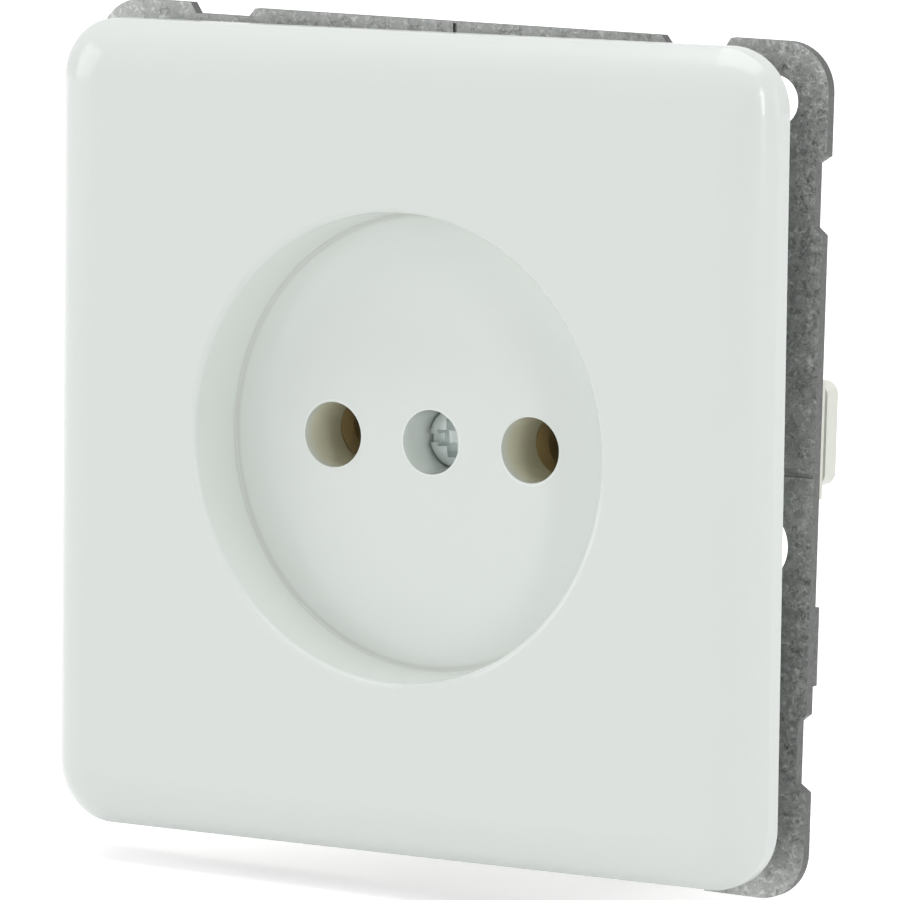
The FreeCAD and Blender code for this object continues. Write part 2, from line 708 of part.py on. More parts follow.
def make_base_body():
    drum = rod("base_drum", "base_radius", "0", "base_deep")
    slab = block(
        "base_slab",
        "-base_radius - 1",
        "base_radius + 1",
        "-1",
        "base_deep + 1",
        "-base_flat",
        "base_flat",
    )
    barrel = shared("base_barrel", drum, slab)
    wing_front = "base_deep - wing_deep"
    low, high = "lever_rise - lever_half - wing_margin", "lever_rise + lever_half + wing_crest"
    right = block("right_wing", "0", "base_wing", wing_front, "base_deep", low, high)
    left = block("left_wing", "-base_wing", "0", wing_front, "base_deep", f"-({high})", f"-({low})")
    boss = rod("base_front_boss", "base_boss", "well_back", "1")
    solid = joined("base_solid", barrel, right, left, boss)

    cutters = []
    for side, sign in (("right", ""), ("left", "-")):
        cutters.append(chamber(side, sign))
        cutters.append(
            rod(
                f"tube_hole_{side}",
                "tube_out + tube_room",
                "well_back - 1",
                "base_front + 1",
                f"{sign}pin_x",
            )
        )
        cutters.append(
            rod(
                f"base_rivet_hole_{side}",
                "rivet_shank + slip",
                "-1",
                "base_deep + 1",
                f"{sign}rivet_x",
                f"{sign}rivet_z",
            )
        )
    cutters.append(
        rod("shaft_hole", "shaft_out + tube_room", "well_back - 1", "screw_tube_end + free_gap")
    )
    cutters.append(rod("base_screw_hole", "screw_shank + slip", "0", "screw_under + screw_length + 1"))
    cutters.append(nut_pocket())
    finished(cut("base_body", solid, *cutters), "base_body")


def chamber(side, sign):
    """The room for one contact, open at the rear."""
    near, far = f"{sign}web_half", f"{sign}(base_radius - base_wall)"
    low, high = (near, far) if not sign else (far, near)
    room = block(
        f"chamber_box_{side}",
        low,
        high,
        "base_front",
        "base_deep + 1",
        "-chamber_half",
        "chamber_half",
    )
    ring = rod(f"chamber_ring_{side}", "base_radius - base_wall", "base_front - 1", "base_deep + 1")
    return shared(f"chamber_{side}", room, ring)


def nut_pocket():
    """The slot that the cover screw's nut is pushed into from below."""
    return block(
        "nut_slot",
        "-(nut_side / 2 + slip)",
        "nut_side / 2 + slip",
        "nut_deep - slip",
        "nut_deep + nut_thick + slip",
        "-base_flat - 1",
        "nut_side / 2 + slip",
    )


def make_rear_cap():
    body = start_body("cap_disc")
    disc = sketch_on(body, "cap_circle", level="base_deep")
    draw_circle(disc, "cap_radius")
    grow(body, "cap_pad", disc, "cap_thick")
    soften(body, "cap_bevel", "cap_edge", lambda edge: lies_at(edge, "cap_back"), kind="Chamfer")
    slab = block(
        "cap_slab",
        "-base_radius",
        "base_radius",
        "base_deep - 1",
        "cap_back + 1",
        "-base_flat",
        "base_flat",
    )
    plate = shared("cap_plate", body, slab)
    cutters = []
    for side, sign in (("right", ""), ("left", "-")):
        near, far = f"{sign}(lever_root - lever_travel - free_gap)", f"{sign}(cap_radius + 1)"
        low, high = (near, far) if not sign else (far, near)
        room = "lever_half + free_gap"
        cutters.append(
            block(
                f"lever_slot_{side}",
                low,
                high,
                "base_deep - 1",
                "lever_back + free_gap",
                f"-({room})",
                room,
            )
        )
        cutters.append(
            rod(
                f"cap_rivet_hole_{side}",
                "rivet_shank + slip",
                "base_deep - 1",
                "cap_back + 1",
                f"{sign}rivet_x",
                f"{sign}rivet_z",
            )
        )
        for level in ("", "-"):
            cutters.append(
                rod(
                    f"wire_hole_{side}{level}",
                    "wire_entry",
                    "base_deep - 1",
                    "cap_back + 1",
                    f"{sign}wire_entry_x",
                    f"{level}wire_entry_z",
                )
            )
    finished(cut("rear_cap", plate, *cutters), "rear_cap")


def make_contact(side, turned):
    """Brass contact: a slit sleeve that grips the pin, and a rail with a leg behind each wire entry."""
    sleeve = rod(f"sleeve_{side}", "sleeve_out", "sleeve_start", "sleeve_end", "pin_x")
    bore = rod(f"sleeve_bore_{side}", "sleeve_bore", "sleeve_start - 1", "sleeve_end + 1", "pin_x")
    mouth = add("Part::Cone", f"sleeve_mouth_{side}")
    mouth.Placement = FreeCAD.Placement(FreeCAD.Vector(), ALONG_Y)
    bind(mouth, Radius1="sleeve_bore + sleeve_wall * 0.7", Radius2="sleeve_bore", Height="1.2")
    place(mouth, "pin_x", "sleeve_start")
    slit = block(
        f"sleeve_slit_{side}",
        "pin_x - sleeve_slit / 2",
        "pin_x + sleeve_slit / 2",
        "sleeve_start - 1",
        "sleeve_end - 2.4",
        "-sleeve_out - 1",
        "sleeve_out + 1",
    )
    grip = cut(f"grip_{side}", sleeve, bore, mouth, slit)
    tang_x = "pin_x + sleeve_out"
    leg_x = "wire_entry_x + wire_entry + brass_sheet / 2"
    rail_y = "sleeve_end - 1.2"
    tang = strip(
        f"tang_{side}",
        [(f"{tang_x} - brass_sheet / 4", rail_y), (leg_x, rail_y), (leg_x, "base_deep - 1")],
        "brass_sheet",
        "-chamber_half + 1.4",
        "chamber_half - 1.4",
    )
    gap = block(
        f"leg_gap_{side}",
        f"{leg_x} - brass_sheet",
        f"{leg_x} + brass_sheet",
        f"{rail_y} + 1.4",
        "base_deep + 1",
        "-lever_half - free_gap",
        "lever_half + free_gap",
    )
    finished(joined(f"contact_{side}", grip, cut(f"rail_{side}", tang, gap)), f"contact_{side}", turned)


def make_contact_spring(side, turned):
    """A slit steel ring that squeezes the contact's sleeve."""
    start, end = "sleeve_start + 2", "sleeve_start + 2 + clip_length"
    ring = rod(f"clip_{side}", "sleeve_out + spring_sheet", start, end, "pin_x")
    bore = rod(f"clip_bore_{side}", "sleeve_out", f"{start} - 1", f"{end} + 1", "pin_x")
    slit = block(
        f"clip_slit_{side}",
        "pin_x - sleeve_slit / 2",
        "pin_x + sleeve_slit / 2",
        f"{start} - 1",
        f"{end} + 1",
        "0",
        "sleeve_out + 1",
    )
    finished(cut(f"contact_spring_{side}", ring, bore, slit), f"contact_spring_{side}", turned)


def make_wire_clamp(side, turned, upper):
    """A looped leaf spring that presses a wire against the contact's leg."""
    name = f"wire_clamp_{'upper' if upper != turned else 'lower'}_{side}"
    middle = "wire_entry_z - 0.6" if upper else "-(wire_entry_z - 0.6)"
    back_x = "pin_x + sleeve_out + 0.9"
    leaf = strip(
        name,
        [
            (back_x, "base_deep - 0.3"),
            (back_x, "sleeve_end + 0.7"),
            (f"{back_x} + 0.7", "sleeve_end + 0.2"),
            (f"{back_x} + 1.3", "sleeve_end + 0.7"),
            ("clamp_tip", "base_deep - 1.6"),
        ],
        "spring_sheet",
        f"{middle} - clamp_width / 2",
        f"{middle} + clamp_width / 2",
    )
    finished(leaf, name, turned)


def make_release_lever(side, turned):
    """The cream tongue that stands out at the side: pressed in, its prong frees both wires."""
    body = start_body(f"lever_body_{side}")
    outline = sketch_on(body, f"lever_outline_{side}", level="lever_front")
    neck = "cap_radius + lever_travel + free_gap"
    draw_runs(
        outline,
        [
            ("lever_root", "-lever_half"),
            (neck, "-lever_half"),
            (neck, "lever_rise - lever_half"),
            ("lever_reach", "lever_rise - lever_half"),
            ("lever_reach", "lever_rise + lever_half"),
            (neck, "lever_rise + lever_half"),
            (neck, "lever_half"),
            ("lever_root", "lever_half"),
        ],
    )
    grow(body, f"lever_pad_{side}", outline, "lever_thick")
    reach = value("lever_reach")
    soften(
        body,
        f"lever_round_{side}",
        "lever_corner",
        lambda edge: runs_along_y(edge) and abs(edge.Vertexes[0].X - reach) < 0.01,
    )
    prong = sketch_on(body, f"prong_outline_{side}", level="lever_front - prong_deep")
    prong_in = "clamp_tip + spring_sheet / 2 + free_gap + lever_travel"
    prong_out = f"{prong_in} + prong_thick"
    draw_runs(prong, rectangle(prong_in, prong_out, "-lever_half + 0.2", "lever_half - 0.2"))
    grow(body, f"prong_{side}", prong, "prong_deep + 0.2")
    finished(body, f"release_lever_{side}", turned)


def make_screw(label, head, head_high, shank, length, under, x="0", z="0", crossed=True):
    """A pan-head screw whose head faces the room: its slot, and a cross of the same depth."""
    body = start_body(label)
    section = sketch_on(body, f"{label}_section", plane="XY_Plane")
    draw_runs(
        section,
        [
            ("0", f"-({head_high})"),
            (f"{head} - 0.5", f"-({head_high})"),
            (f"{head} - 0.15", f"-({head_high}) + 0.18"),
            (head, f"-({head_high}) + 0.55"),
            (head, "0"),
            (shank, "0"),
            (shank, f"{length} - 0.5"),
            (f"{shank} - 0.5", length),
            ("0", length),
        ],
    )
    turn(body, f"{label}_turned", section)
    slot = sketch_on(body, f"{label}_slot_outline", level=f"-({head_high})")
    draw_runs(slot, rectangle(f"-({head}) - 1", f"{head} + 1", "-drive_slot / 2", "drive_slot / 2"))
    sink(body, f"{label}_slot", slot, "drive_deep")
    if crossed:
        cross = sketch_on(body, f"{label}_cross_outline", level=f"-({head_high})")
        arm = f"({head} * 0.58)"
        draw_runs(cross, rectangle("-drive_slot / 2", "drive_slot / 2", f"-{arm}", arm))
        sink(body, f"{label}_cross", cross, "drive_deep * 1.3")
    place(body, x, under, z)
    finished(body, label)


def make_screw_nut():
    plate = block(
        "nut_blank",
        "-nut_side / 2",
        "nut_side / 2",
        "nut_deep",
        "nut_deep + nut_thick",
        "-nut_side / 2",
        "nut_side / 2",
    )
    hole = rod("nut_hole", "screw_shank", "nut_deep - 1", "nut_deep + nut_thick + 1")
    finished(cut("screw_nut", plate, hole), "screw_nut")


def make_frame_rivets():
    """Two tubular rivets clamp the frame, the base and the rear cap."""
    rivets = []
    for side, sign in (("right", ""), ("left", "-")):
        x, z = f"{sign}rivet_x", f"{sign}rivet_z"
        front_end, rear_end = "-frame_sheet - rivet_head_high", "cap_back + rivet_head_high"
        shank = rod(f"rivet_shank_{side}", "rivet_shank", front_end, rear_end, x, z)
        front = rod(f"rivet_front_{side}", "rivet_head", front_end, "-frame_sheet", x, z)
        back = rod(f"rivet_back_{side}", "rivet_head", "cap_back", "cap_back + rivet_head_high", x, z)
        bore = rod(f"rivet_bore_{side}", "rivet_bore", "-frame_sheet - 2", "cap_back + 2", x, z)
        rivets.append(cut(f"rivet_{side}", joined(f"rivet_solid_{side}", shank, front, back), bore))
    pair = add("Part::Compound", "frame_rivets")
    pair.Links = rivets
    finished(pair, "frame_rivets")


def along_claw(distance, outward="0"):
    """A point at a distance from the pivot along the claw's arm, and off it on the outer side."""
    x = f"claw_pivot_x + ({distance}) * sin(claw_lean) + ({outward}) * cos(claw_lean)"
    y = f"claw_pivot_y + ({distance}) * cos(claw_lean) - ({outward}) * sin(claw_lean)"
    return x, y


def make_claw(side, turned):
    """A spreading claw: rolled eye, slotted arm and a toothed lip turned outwards."""
    low, high = "-claw_z - claw_width / 2", "-claw_z + claw_width / 2"
    arm = strip(
        f"claw_arm_{side}",
        [
            along_claw("claw_eye * 0.8"),
            along_claw("claw_arm"),
            along_claw("claw_arm + claw_lip * 0.4", "claw_lip * 0.8"),
        ],
        "claw_sheet",
        low,
        high,
    )
    eye = upright(f"claw_eye_{side}", "claw_eye", "claw_pivot_x", "claw_pivot_y", low, high)
    bore = upright(
        f"claw_bore_{side}",
        "claw_pin + thread_room",
        "claw_pivot_x",
        "claw_pivot_y",
        f"{low} - 1",
        f"{high} + 1",
    )
    slot = block(
        f"claw_slot_{side}",
        "claw_pivot_x - 5",
        "claw_pivot_x + 14",
        "claw_pivot_y + claw_slot_start * cos(claw_lean)",
        "claw_pivot_y + claw_slot_end * cos(claw_lean)",
        "-claw_z - claw_shank - free_gap",
        "-claw_z + claw_shank + free_gap",
    )
    cutters = [bore, slot]
    pitch = f"claw_width / {TEETH}"
    lip_x, lip_y = along_claw("claw_arm + claw_lip * 0.4", "claw_lip * 0.8")
    for tooth in range(TEETH + 1):
        gap = block(
            f"tooth_gap_{side}_{tooth}",
            "0",
            "claw_sheet * 3",
            "0",
            "claw_sheet * 3",
            "0",
            f"({pitch}) * 0.5",
        )
        place(
            gap,
            f"{lip_x} + claw_sheet / 2 - tooth_depth",
            f"{lip_y} - claw_sheet * 1.5",
            f"{low} + ({tooth} - 0.25) * {pitch}",
        )
        cutters.append(gap)
    finished(cut(f"claw_{side}", joined(f"claw_blank_{side}", eye, arm), *cutters), f"claw_{side}", turned)


def make_claw_pin(side, turned):
    reach = "claw_width / 2 + free_gap + ear_thick"
    low, high = f"-claw_z - ({reach}) - claw_pin_head", f"-claw_z + {reach} + claw_pin_head"
    shank = upright(f"pin_shank_{side}", "claw_pin", "claw_pivot_x", "claw_pivot_y", low, high)
    head, place_x, place_y = "claw_pin * 1.5", "claw_pivot_x", "claw_pivot_y"
    lower = upright(f"pin_lower_{side}", head, place_x, place_y, low, f"{low} + claw_pin_head")
    upper = upright(f"pin_upper_{side}", head, place_x, place_y, f"{high} - claw_pin_head", high)
    finished(joined(f"claw_pin_{side}", shank, lower, upper), f"claw_pin_{side}", turned)


def make_claw_nut(side, turned):
    """A cross-drilled barrel that draws the claw's arm forward."""
    barrel = upright(
        f"nut_barrel_{side}",
        "claw_nut",
        "claw_screw_x",
        "claw_nut_y",
        "-claw_z - claw_nut_long / 2",
        "-claw_z + claw_nut_long / 2",
    )
    hole = rod(
        f"nut_thread_{side}",
        "claw_shank + thread_room",
        "claw_nut_y - claw_nut - 1",
        "claw_nut_y + claw_nut + 1",
        "claw_screw_x",
        "-claw_z",
    )
    finished(cut(f"claw_nut_{side}", barrel, hole), f"claw_nut_{side}", turned)


make_cover_plate()
make_screw("cover_screw", "screw_head", "screw_head_high", "screw_shank", "screw_length", "screw_under")
make_support_frame()
make_base_body()
make_rear_cap()
make_screw_nut()
make_frame_rivets()
for side, turned in (("right", False), ("left", True)):
    make_contact(side, turned)
    make_contact_spring(side, turned)
    make_wire_clamp(side, turned, True)
    make_wire_clamp(side, turned, False)
    make_release_lever(side, turned)
    make_claw(side, turned)
    make_claw_pin(side, turned)
    make_claw_nut(side, turned)
    sign, down = ("-", "") if turned else ("", "-")
    make_screw(
        f"claw_screw_{side}",
        "claw_head",
        "claw_head_high",
        "claw_shank",
        "claw_screw_long",
        "-frame_sheet",
        f"{sign}claw_screw_x",
        f"{down}claw_z",
    )

doc.recompute()
for thing in doc.Objects:
    if "Invalid" in thing.State or "Error" in thing.State:
        raise RuntimeError(f"{thing.Label} failed: {thing.State}")
os.makedirs("parts", exist_ok=True)
for piece in parts:
    shape = piece.Shape
    if shape.isNull() or not shape.isValid() or not shape.Solids:
        raise RuntimeError(f"{piece.Label} has no sound shape")
    shape.exportStep(f"parts/{piece.Label}.step")
    box = shape.BoundBox
    print(f"{piece.Label:24s} {len(shape.Solids)} {shape.Volume:9.1f}", end=" ")
    for axis in "XYZ":
        print(f"{axis} {getattr(box, axis + 'Min'):7.2f} {getattr(box, axis + 'Max'):7.2f}", end=" ")
    print()
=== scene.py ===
"""Looks of a flush wall socket with two pins in a round recess.

This file gives them their materials, cuts the threads and drives of the screws, and
sets up the stage, the light and the camera. Lengths are in metres. X is to the right, Y
into the wall and Z up.
"""

import math

import bmesh
import bpy
from bpy.props import FloatProperty, FloatVectorProperty, IntProperty, PointerProperty
from mathutils import Matrix, Vector


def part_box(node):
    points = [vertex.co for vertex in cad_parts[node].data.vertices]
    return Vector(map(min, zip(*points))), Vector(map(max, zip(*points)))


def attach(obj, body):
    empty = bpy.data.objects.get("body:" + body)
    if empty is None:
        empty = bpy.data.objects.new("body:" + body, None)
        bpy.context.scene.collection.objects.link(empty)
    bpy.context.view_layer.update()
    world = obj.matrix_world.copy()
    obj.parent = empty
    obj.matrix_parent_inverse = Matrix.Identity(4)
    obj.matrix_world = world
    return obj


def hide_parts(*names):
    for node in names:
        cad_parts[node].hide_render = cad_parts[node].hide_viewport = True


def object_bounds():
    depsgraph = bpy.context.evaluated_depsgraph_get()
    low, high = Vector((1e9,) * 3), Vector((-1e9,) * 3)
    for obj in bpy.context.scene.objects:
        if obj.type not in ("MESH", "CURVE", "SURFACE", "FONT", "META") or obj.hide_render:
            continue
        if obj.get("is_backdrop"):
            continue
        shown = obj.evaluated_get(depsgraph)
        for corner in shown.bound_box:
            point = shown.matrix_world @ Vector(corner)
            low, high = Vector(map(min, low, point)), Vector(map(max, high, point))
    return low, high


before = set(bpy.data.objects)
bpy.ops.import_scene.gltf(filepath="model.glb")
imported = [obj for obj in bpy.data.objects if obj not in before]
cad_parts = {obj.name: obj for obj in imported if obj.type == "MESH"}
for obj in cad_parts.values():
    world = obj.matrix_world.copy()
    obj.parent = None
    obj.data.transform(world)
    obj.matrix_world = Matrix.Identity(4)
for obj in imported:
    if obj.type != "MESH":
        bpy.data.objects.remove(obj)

bl_info = {
    "name": "Flush wall socket",
    "version": (1, 0, 0),
    "blender": (4, 5, 0),
    "location": "3D View > Sidebar > Socket",
    "description": "Materials, screws, stage and camera for a flush wall socket",
    "category": "Object",
}

MM = 0.001
SIDES = ("left", "right")


# ---------------------------------------------------------------- user's sizes and colours


def colour(name, description, value):
    """A colour that the user can change, written as sRGB numbers from 0 to 255."""
    # The numbers are those of the sRGB standard.
    linear = [((v / 255 + 0.055) / 1.055) ** 2.4 if v > 10 else v / 3294.6 for v in value]
    return FloatVectorProperty(
        name=name, description=description, default=linear, size=3, subtype="COLOR", min=0, max=1
    )


def length(name, description, value):
    """A length that the user can change, in metres."""
    return FloatProperty(
        name=name, description=description, default=value, min=0, subtype="DISTANCE", unit="LENGTH"
    )


def strength(name, description, value):
    """A light's strength that the user can change."""
    return FloatProperty(name=name, description=description, default=value, min=0)


class SocketColours(bpy.types.PropertyGroup):
    cover: colour("Cover", "Moulded white of the cover", (225, 230, 227))
    # Painted light: the recess is painted lighter than the cover, standing in for light that reaches into
    # it.
    recess: colour("Recess", "Slightly lighter white of the recess", (230, 235, 231))
    # Painted shade: a darker tone in the corner round the recess's floor, where shade falls.
    crease_shade: colour("Crease", "Dull tone in the corner round the recess's floor", (206, 209, 202))
    shaft: colour("Shafts", "Beige inside of the pin holes", (235, 234, 214))
    # Painted highlight: paler rims round the holes, standing in for light caught on their rounded edges.
    rim_highlight: colour("Hole rims", "Paler edge of the holes", (239, 243, 241))
    base: colour("Base", "Moulded cream of the base and the rear cap", (223, 223, 213))
    lever: colour("Lever", "Moulded cream of the release levers", (227, 230, 220))
    sheet: colour("Galvanised sheet", "Zinc coat of the support frame and the claws", (169, 171, 169))
    plate: colour("Zinc plate", "Bright zinc of the screws and the rivets", (234, 239, 238))
    spring: colour("Spring steel", "Bare steel of the springs and clamps", (168, 170, 176))
    brass: colour("Brass", "Stamped brass of the contacts", (222, 204, 162))


class SocketSizes(bpy.types.PropertyGroup):
    pitch: length("Thread pitch", "Pitch of all the screws", 0.7 * MM)
    thread: length("Thread depth", "Depth of the thread", 0.24 * MM)
    cover_shank: length("Cover screw shank", "Radius of the cover screw's shank", 1.45 * MM)
    cover_head: length("Cover screw head", "Height of the cover screw's head", 1.7 * MM)
    claw_shank: length("Claw screw shank", "Radius of the claw screws' shanks", 1.25 * MM)
    claw_head: length("Claw screw head", "Height of the claw screws' heads", 1.8 * MM)
    slot_width: length("Slot width", "Width of the slot in a screw's head", 0.75 * MM)
    slot_depth: length("Slot depth", "Depth of the slot in a screw's head", 0.9 * MM)
    turn_steps: IntProperty(name="Steps", description="Steps round a screw", default=48, min=16)


class SocketStage(bpy.types.PropertyGroup):
    floor_drop: length("Floor drop", "Gap between the socket and the floor", 3.0 * MM)
    floor_size: length("Floor size", "Length of the floor's sides", 6.0)
    world_light: strength("World light", "Strength of the light from all round", 0.3)
    front_light: strength("Front light", "Radiance of the large front light", 0.5)
    side_light: strength("Side light", "Radiance of the light at the right", 1.4)
    left_light: strength("Left light", "Radiance of the light at the left", 1.95)
    top_light: strength("Top light", "Radiance of the light overhead", 2.45)
    strip_light: strength("Strip light", "Radiance of the narrow light that shows in the gloss", 10.0)
    lens: FloatProperty(name="Lens", description="Focal length of the camera", default=291.836)


# ---------------------------------------------------------------------- node trees


def link_in(tree, node, values):
    """Sets sockets of a node by name or number: a socket is linked, and anything else is its value."""
    for key, value in values.items():
        socket = node.inputs[key]
        if isinstance(value, bpy.types.NodeSocket):
            tree.links.new(value, socket)
        else:
            if socket.type == "RGBA" and len(value) == 3:
                value = (*value, 1.0)
            socket.default_value = value


def add_node(tree, kind, inputs=None, **settings):
    """A new node with its settings and its inputs."""
    node = tree.nodes.new(kind)
    for key, value in settings.items():
        setattr(node, key, value)
    link_in(tree, node, inputs or {})
    return node


def maths(tree, operation, *values, clamp=False):
    """A sum of numbers or sockets."""
    node = add_node(tree, "ShaderNodeMath", dict(enumerate(values)), operation=operation, use_clamp=clamp)
    return node.outputs[0]


def spread(tree, value, low, high, to_low=0.0, to_high=1.0):
    """A value between low and high, stretched to another range and held inside it."""
    node = add_node(
        tree,
        "ShaderNodeMapRange",
        {"Value": value, "From Min": low, "From Max": high, "To Min": to_low, "To Max": to_high},
    )
    return node.outputs[0]


# Sockets of a Mix node: its share, its two numbers and its two colours. The mixed number is
# its first output, and the mixed colour its third.
SHARE, NUMBERS, COLOURS, MIXED_NUMBER, MIXED_COLOUR = 0, (2, 3), (6, 7), 0, 2


def mixed(tree, share, first, second):
    """A colour between two others."""
    node = add_node(tree, "ShaderNodeMix", data_type="RGBA", blend_type="MIX")
    link_in(tree, node, {SHARE: share, COLOURS[0]: first, COLOURS[1]: second})
    return node.outputs[MIXED_COLOUR]


def scaled(tree, tone, shade):
    """A colour made lighter or darker."""
    node = add_node(tree, "ShaderNodeVectorMath", operation="SCALE")
    link_in(tree, node, {0: tone, "Scale": shade})
    return node.outputs[0]


def object_place(tree):
    """The place on a piece, in the axes of its object."""
    return add_node(tree, "ShaderNodeTexCoord").outputs["Object"]


def stretched(tree, place, scale):
    """The same place with its axes scaled, for a texture that is drawn out."""
    return add_node(tree, "ShaderNodeMapping", {"Vector": place, "Scale": scale}).outputs[0]


def seen_directly(tree):
    """1 where the camera looks, straight, off gloss or through glass, and 0 for other rays."""
    rays = add_node(tree, "ShaderNodeLightPath").outputs
    straight = maths(tree, "MAXIMUM", rays["Is Camera Ray"], rays["Is Transmission Ray"])
    return maths(tree, "MAXIMUM", straight, rays["Is Glossy Ray"])


def noise(tree, place, scale, detail=2.0, rough=0.5, **more):
    """A noise texture, with its scale in features per metre."""
    node = add_node(
        tree,
        "ShaderNodeTexNoise",
        {"Vector": place, "Scale": scale, "Detail": detail, "Roughness": rough, **more},
    )
    return node.outputs[0]


def shifted(tree, place, distance):
    """The same place, shifted, so that a second texture differs from the first."""
    moved = add_node(tree, "ShaderNodeVectorMath", {0: place, 1: (distance,) * 3}, operation="ADD")
    return moved.outputs[0]


def thin_lines(tree, place, scale, width):
    """Broken thin curls: where a noise passes its middle, in patches."""
    middle, patch_scale = 0.5, 0.7
    field = noise(tree, place, scale, 1.0, 0.4, Distortion=0.3)
    off = maths(tree, "ABSOLUTE", maths(tree, "SUBTRACT", field, middle))
    patch = spread(tree, noise(tree, place, scale * patch_scale), 0.5, 0.6)
    return maths(tree, "MULTIPLY", spread(tree, off, 0.0, width, 1.0, 0.0), patch)


def new_group(name, inputs, outputs):
    """An empty node group with named sockets. A colour's default has three numbers."""
    tree = bpy.data.node_groups.new(name, "ShaderNodeTree")
    for label, default in inputs.items():
        is_colour = isinstance(default, tuple)
        socket = tree.interface.new_socket(
            label, in_out="INPUT", socket_type="NodeSocketColor" if is_colour else "NodeSocketFloat"
        )
        socket.default_value = (*default, 1.0) if is_colour else default
    for label, kind in outputs.items():
        tree.interface.new_socket(label, in_out="OUTPUT", socket_type=kind)
    return tree, tree.nodes.new("NodeGroupInput").outputs, tree.nodes.new("NodeGroupOutput").inputs


def moulded_group():
    """Moulded plastic: slight clouds in its colour, faint wipe marks, and a fine skin."""
    tree, given, out = new_group(
        "Moulded skin",
        {"Colour": (0.8, 0.8, 0.8), "Clouds": 0.02, "Gloss": 0.3, "Wipe": 0.05, "Skin": 0.5},
        {"Colour": "NodeSocketColor", "Roughness": "NodeSocketFloat", "Height": "NodeSocketFloat"},
    )
    cloud_scale, mottle_scale, wipe_scale, grain_scale = 45.0, 700.0, 260.0, 2600.0
    cloud_share, wipe_shape = 0.75, (1.0, 1.0, 0.16)
    place = object_place(tree)
    clouds = maths(tree, "MULTIPLY", noise(tree, place, cloud_scale, 3.0), cloud_share)
    mottle = maths(tree, "MULTIPLY", noise(tree, place, mottle_scale), 1.0 - cloud_share)
    both = maths(tree, "SUBTRACT", maths(tree, "ADD", clouds, mottle), 0.5)
    shade = maths(tree, "ADD", maths(tree, "MULTIPLY", both, given["Clouds"]), 1.0)
    tree.links.new(scaled(tree, given["Colour"], shade), out["Colour"])
    marks = noise(tree, stretched(tree, place, wipe_shape), wipe_scale, 4.0, 0.65)
    wiped = maths(tree, "MULTIPLY", spread(tree, marks, 0.45, 0.75), given["Wipe"])
    tree.links.new(maths(tree, "ADD", given["Gloss"], wiped), out["Roughness"])
    grain = noise(tree, place, grain_scale)
    tree.links.new(maths(tree, "MULTIPLY", grain, given["Skin"]), out["Height"])
    return tree


def spangle_group():
    """Hot-dip zinc: crystals of mixed brightness with light flecks, light curls and dark scores.
    The sides of the sheet, which face along X or Z, show its cut edge."""
    tree, given, out = new_group(
        "Zinc spangle",
        {
            "Colour": (0.4, 0.4, 0.4),
            "Crystal": 900.0,
            "Contrast": 0.3,
            "Flecks": 0.5,
            "Gloss": 0.4,
            "Curls": 1.0,
            "Cut edge": 0.0,
        },
        {"Colour": "NodeSocketColor", "Roughness": "NodeSocketFloat", "Height": "NodeSocketFloat"},
    )
    warp_scale, warp_reach = 900.0, 1.1 * MM
    small_scale, large_share = 3.1, 0.55
    fleck_scale, stain_scale = 5200.0, 160.0
    curl_scale, score_scale, line_width = 1700.0, 1900.0, 0.09
    curl_light, score_dark, score_shift = 0.5, 0.35, 0.37
    cut_tone, gloss_swing, fleck_height = 0.34, 0.24, 0.5
    place = object_place(tree)
    # Two sizes of crystal on a warped place.
    warp = add_node(tree, "ShaderNodeTexNoise", {"Vector": place, "Scale": warp_scale, "Detail": 3.0})
    bent = add_node(tree, "ShaderNodeVectorMath", operation="MULTIPLY_ADD")
    link_in(tree, bent, {0: warp.outputs["Color"], 1: (warp_reach,) * 3, 2: place})
    crystals = []
    finer = maths(tree, "MULTIPLY", given["Crystal"], small_scale)
    for scale, channel in ((given["Crystal"], 0), (finer, 1)):
        cells = add_node(tree, "ShaderNodeTexVoronoi", {"Vector": bent.outputs[0], "Scale": scale})
        parts = add_node(tree, "ShaderNodeSeparateColor", {0: cells.outputs["Color"]})
        crystals.append(parts.outputs[channel])
    large, small = crystals
    mix = maths(
        tree,
        "ADD",
        maths(tree, "MULTIPLY", large, large_share),
        maths(tree, "MULTIPLY", small, 1.0 - large_share),
    )
    # Flecks, curls and scores on them.
    fleck = spread(tree, noise(tree, place, fleck_scale, 2.0, 0.7), 0.58, 0.72)
    swing = maths(tree, "MULTIPLY", maths(tree, "SUBTRACT", mix, 0.5), given["Contrast"])
    bright = maths(tree, "ADD", swing, maths(tree, "MULTIPLY", fleck, given["Flecks"]))
    curls = maths(tree, "MULTIPLY", thin_lines(tree, place, curl_scale, line_width), curl_light)
    apart = shifted(tree, place, score_shift)
    scores = maths(tree, "MULTIPLY", thin_lines(tree, apart, score_scale, line_width), score_dark)
    drawn = maths(tree, "MULTIPLY", maths(tree, "SUBTRACT", curls, scores), given["Curls"])
    marked = maths(tree, "ADD", maths(tree, "ADD", bright, drawn), 1.0)
    stain = spread(tree, noise(tree, place, stain_scale, 4.0, 0.6), 0.3, 0.7, 0.86, 1.06)
    whole = maths(tree, "MULTIPLY", marked, stain)
    # The cut edge.
    facing = add_node(tree, "ShaderNodeTexCoord").outputs["Normal"]
    across = maths(tree, "ABSOLUTE", add_node(tree, "ShaderNodeSeparateXYZ", {0: facing}).outputs["Y"])
    cut = maths(tree, "MULTIPLY", spread(tree, across, 0.35, 0.75, 1.0, 0.0), given["Cut edge"])
    shades = {SHARE: cut, NUMBERS[0]: whole, NUMBERS[1]: cut_tone}
    shade = add_node(tree, "ShaderNodeMix", shades, data_type="FLOAT").outputs[MIXED_NUMBER]
    tree.links.new(scaled(tree, given["Colour"], shade), out["Colour"])
    dull = maths(tree, "MULTIPLY", maths(tree, "SUBTRACT", small, 0.5), gloss_swing)
    tree.links.new(maths(tree, "ADD", given["Gloss"], dull, clamp=True), out["Roughness"])
    raised = maths(tree, "MULTIPLY", fleck, fleck_height)
    tree.links.new(maths(tree, "ADD", mix, raised), out["Height"])
    return tree


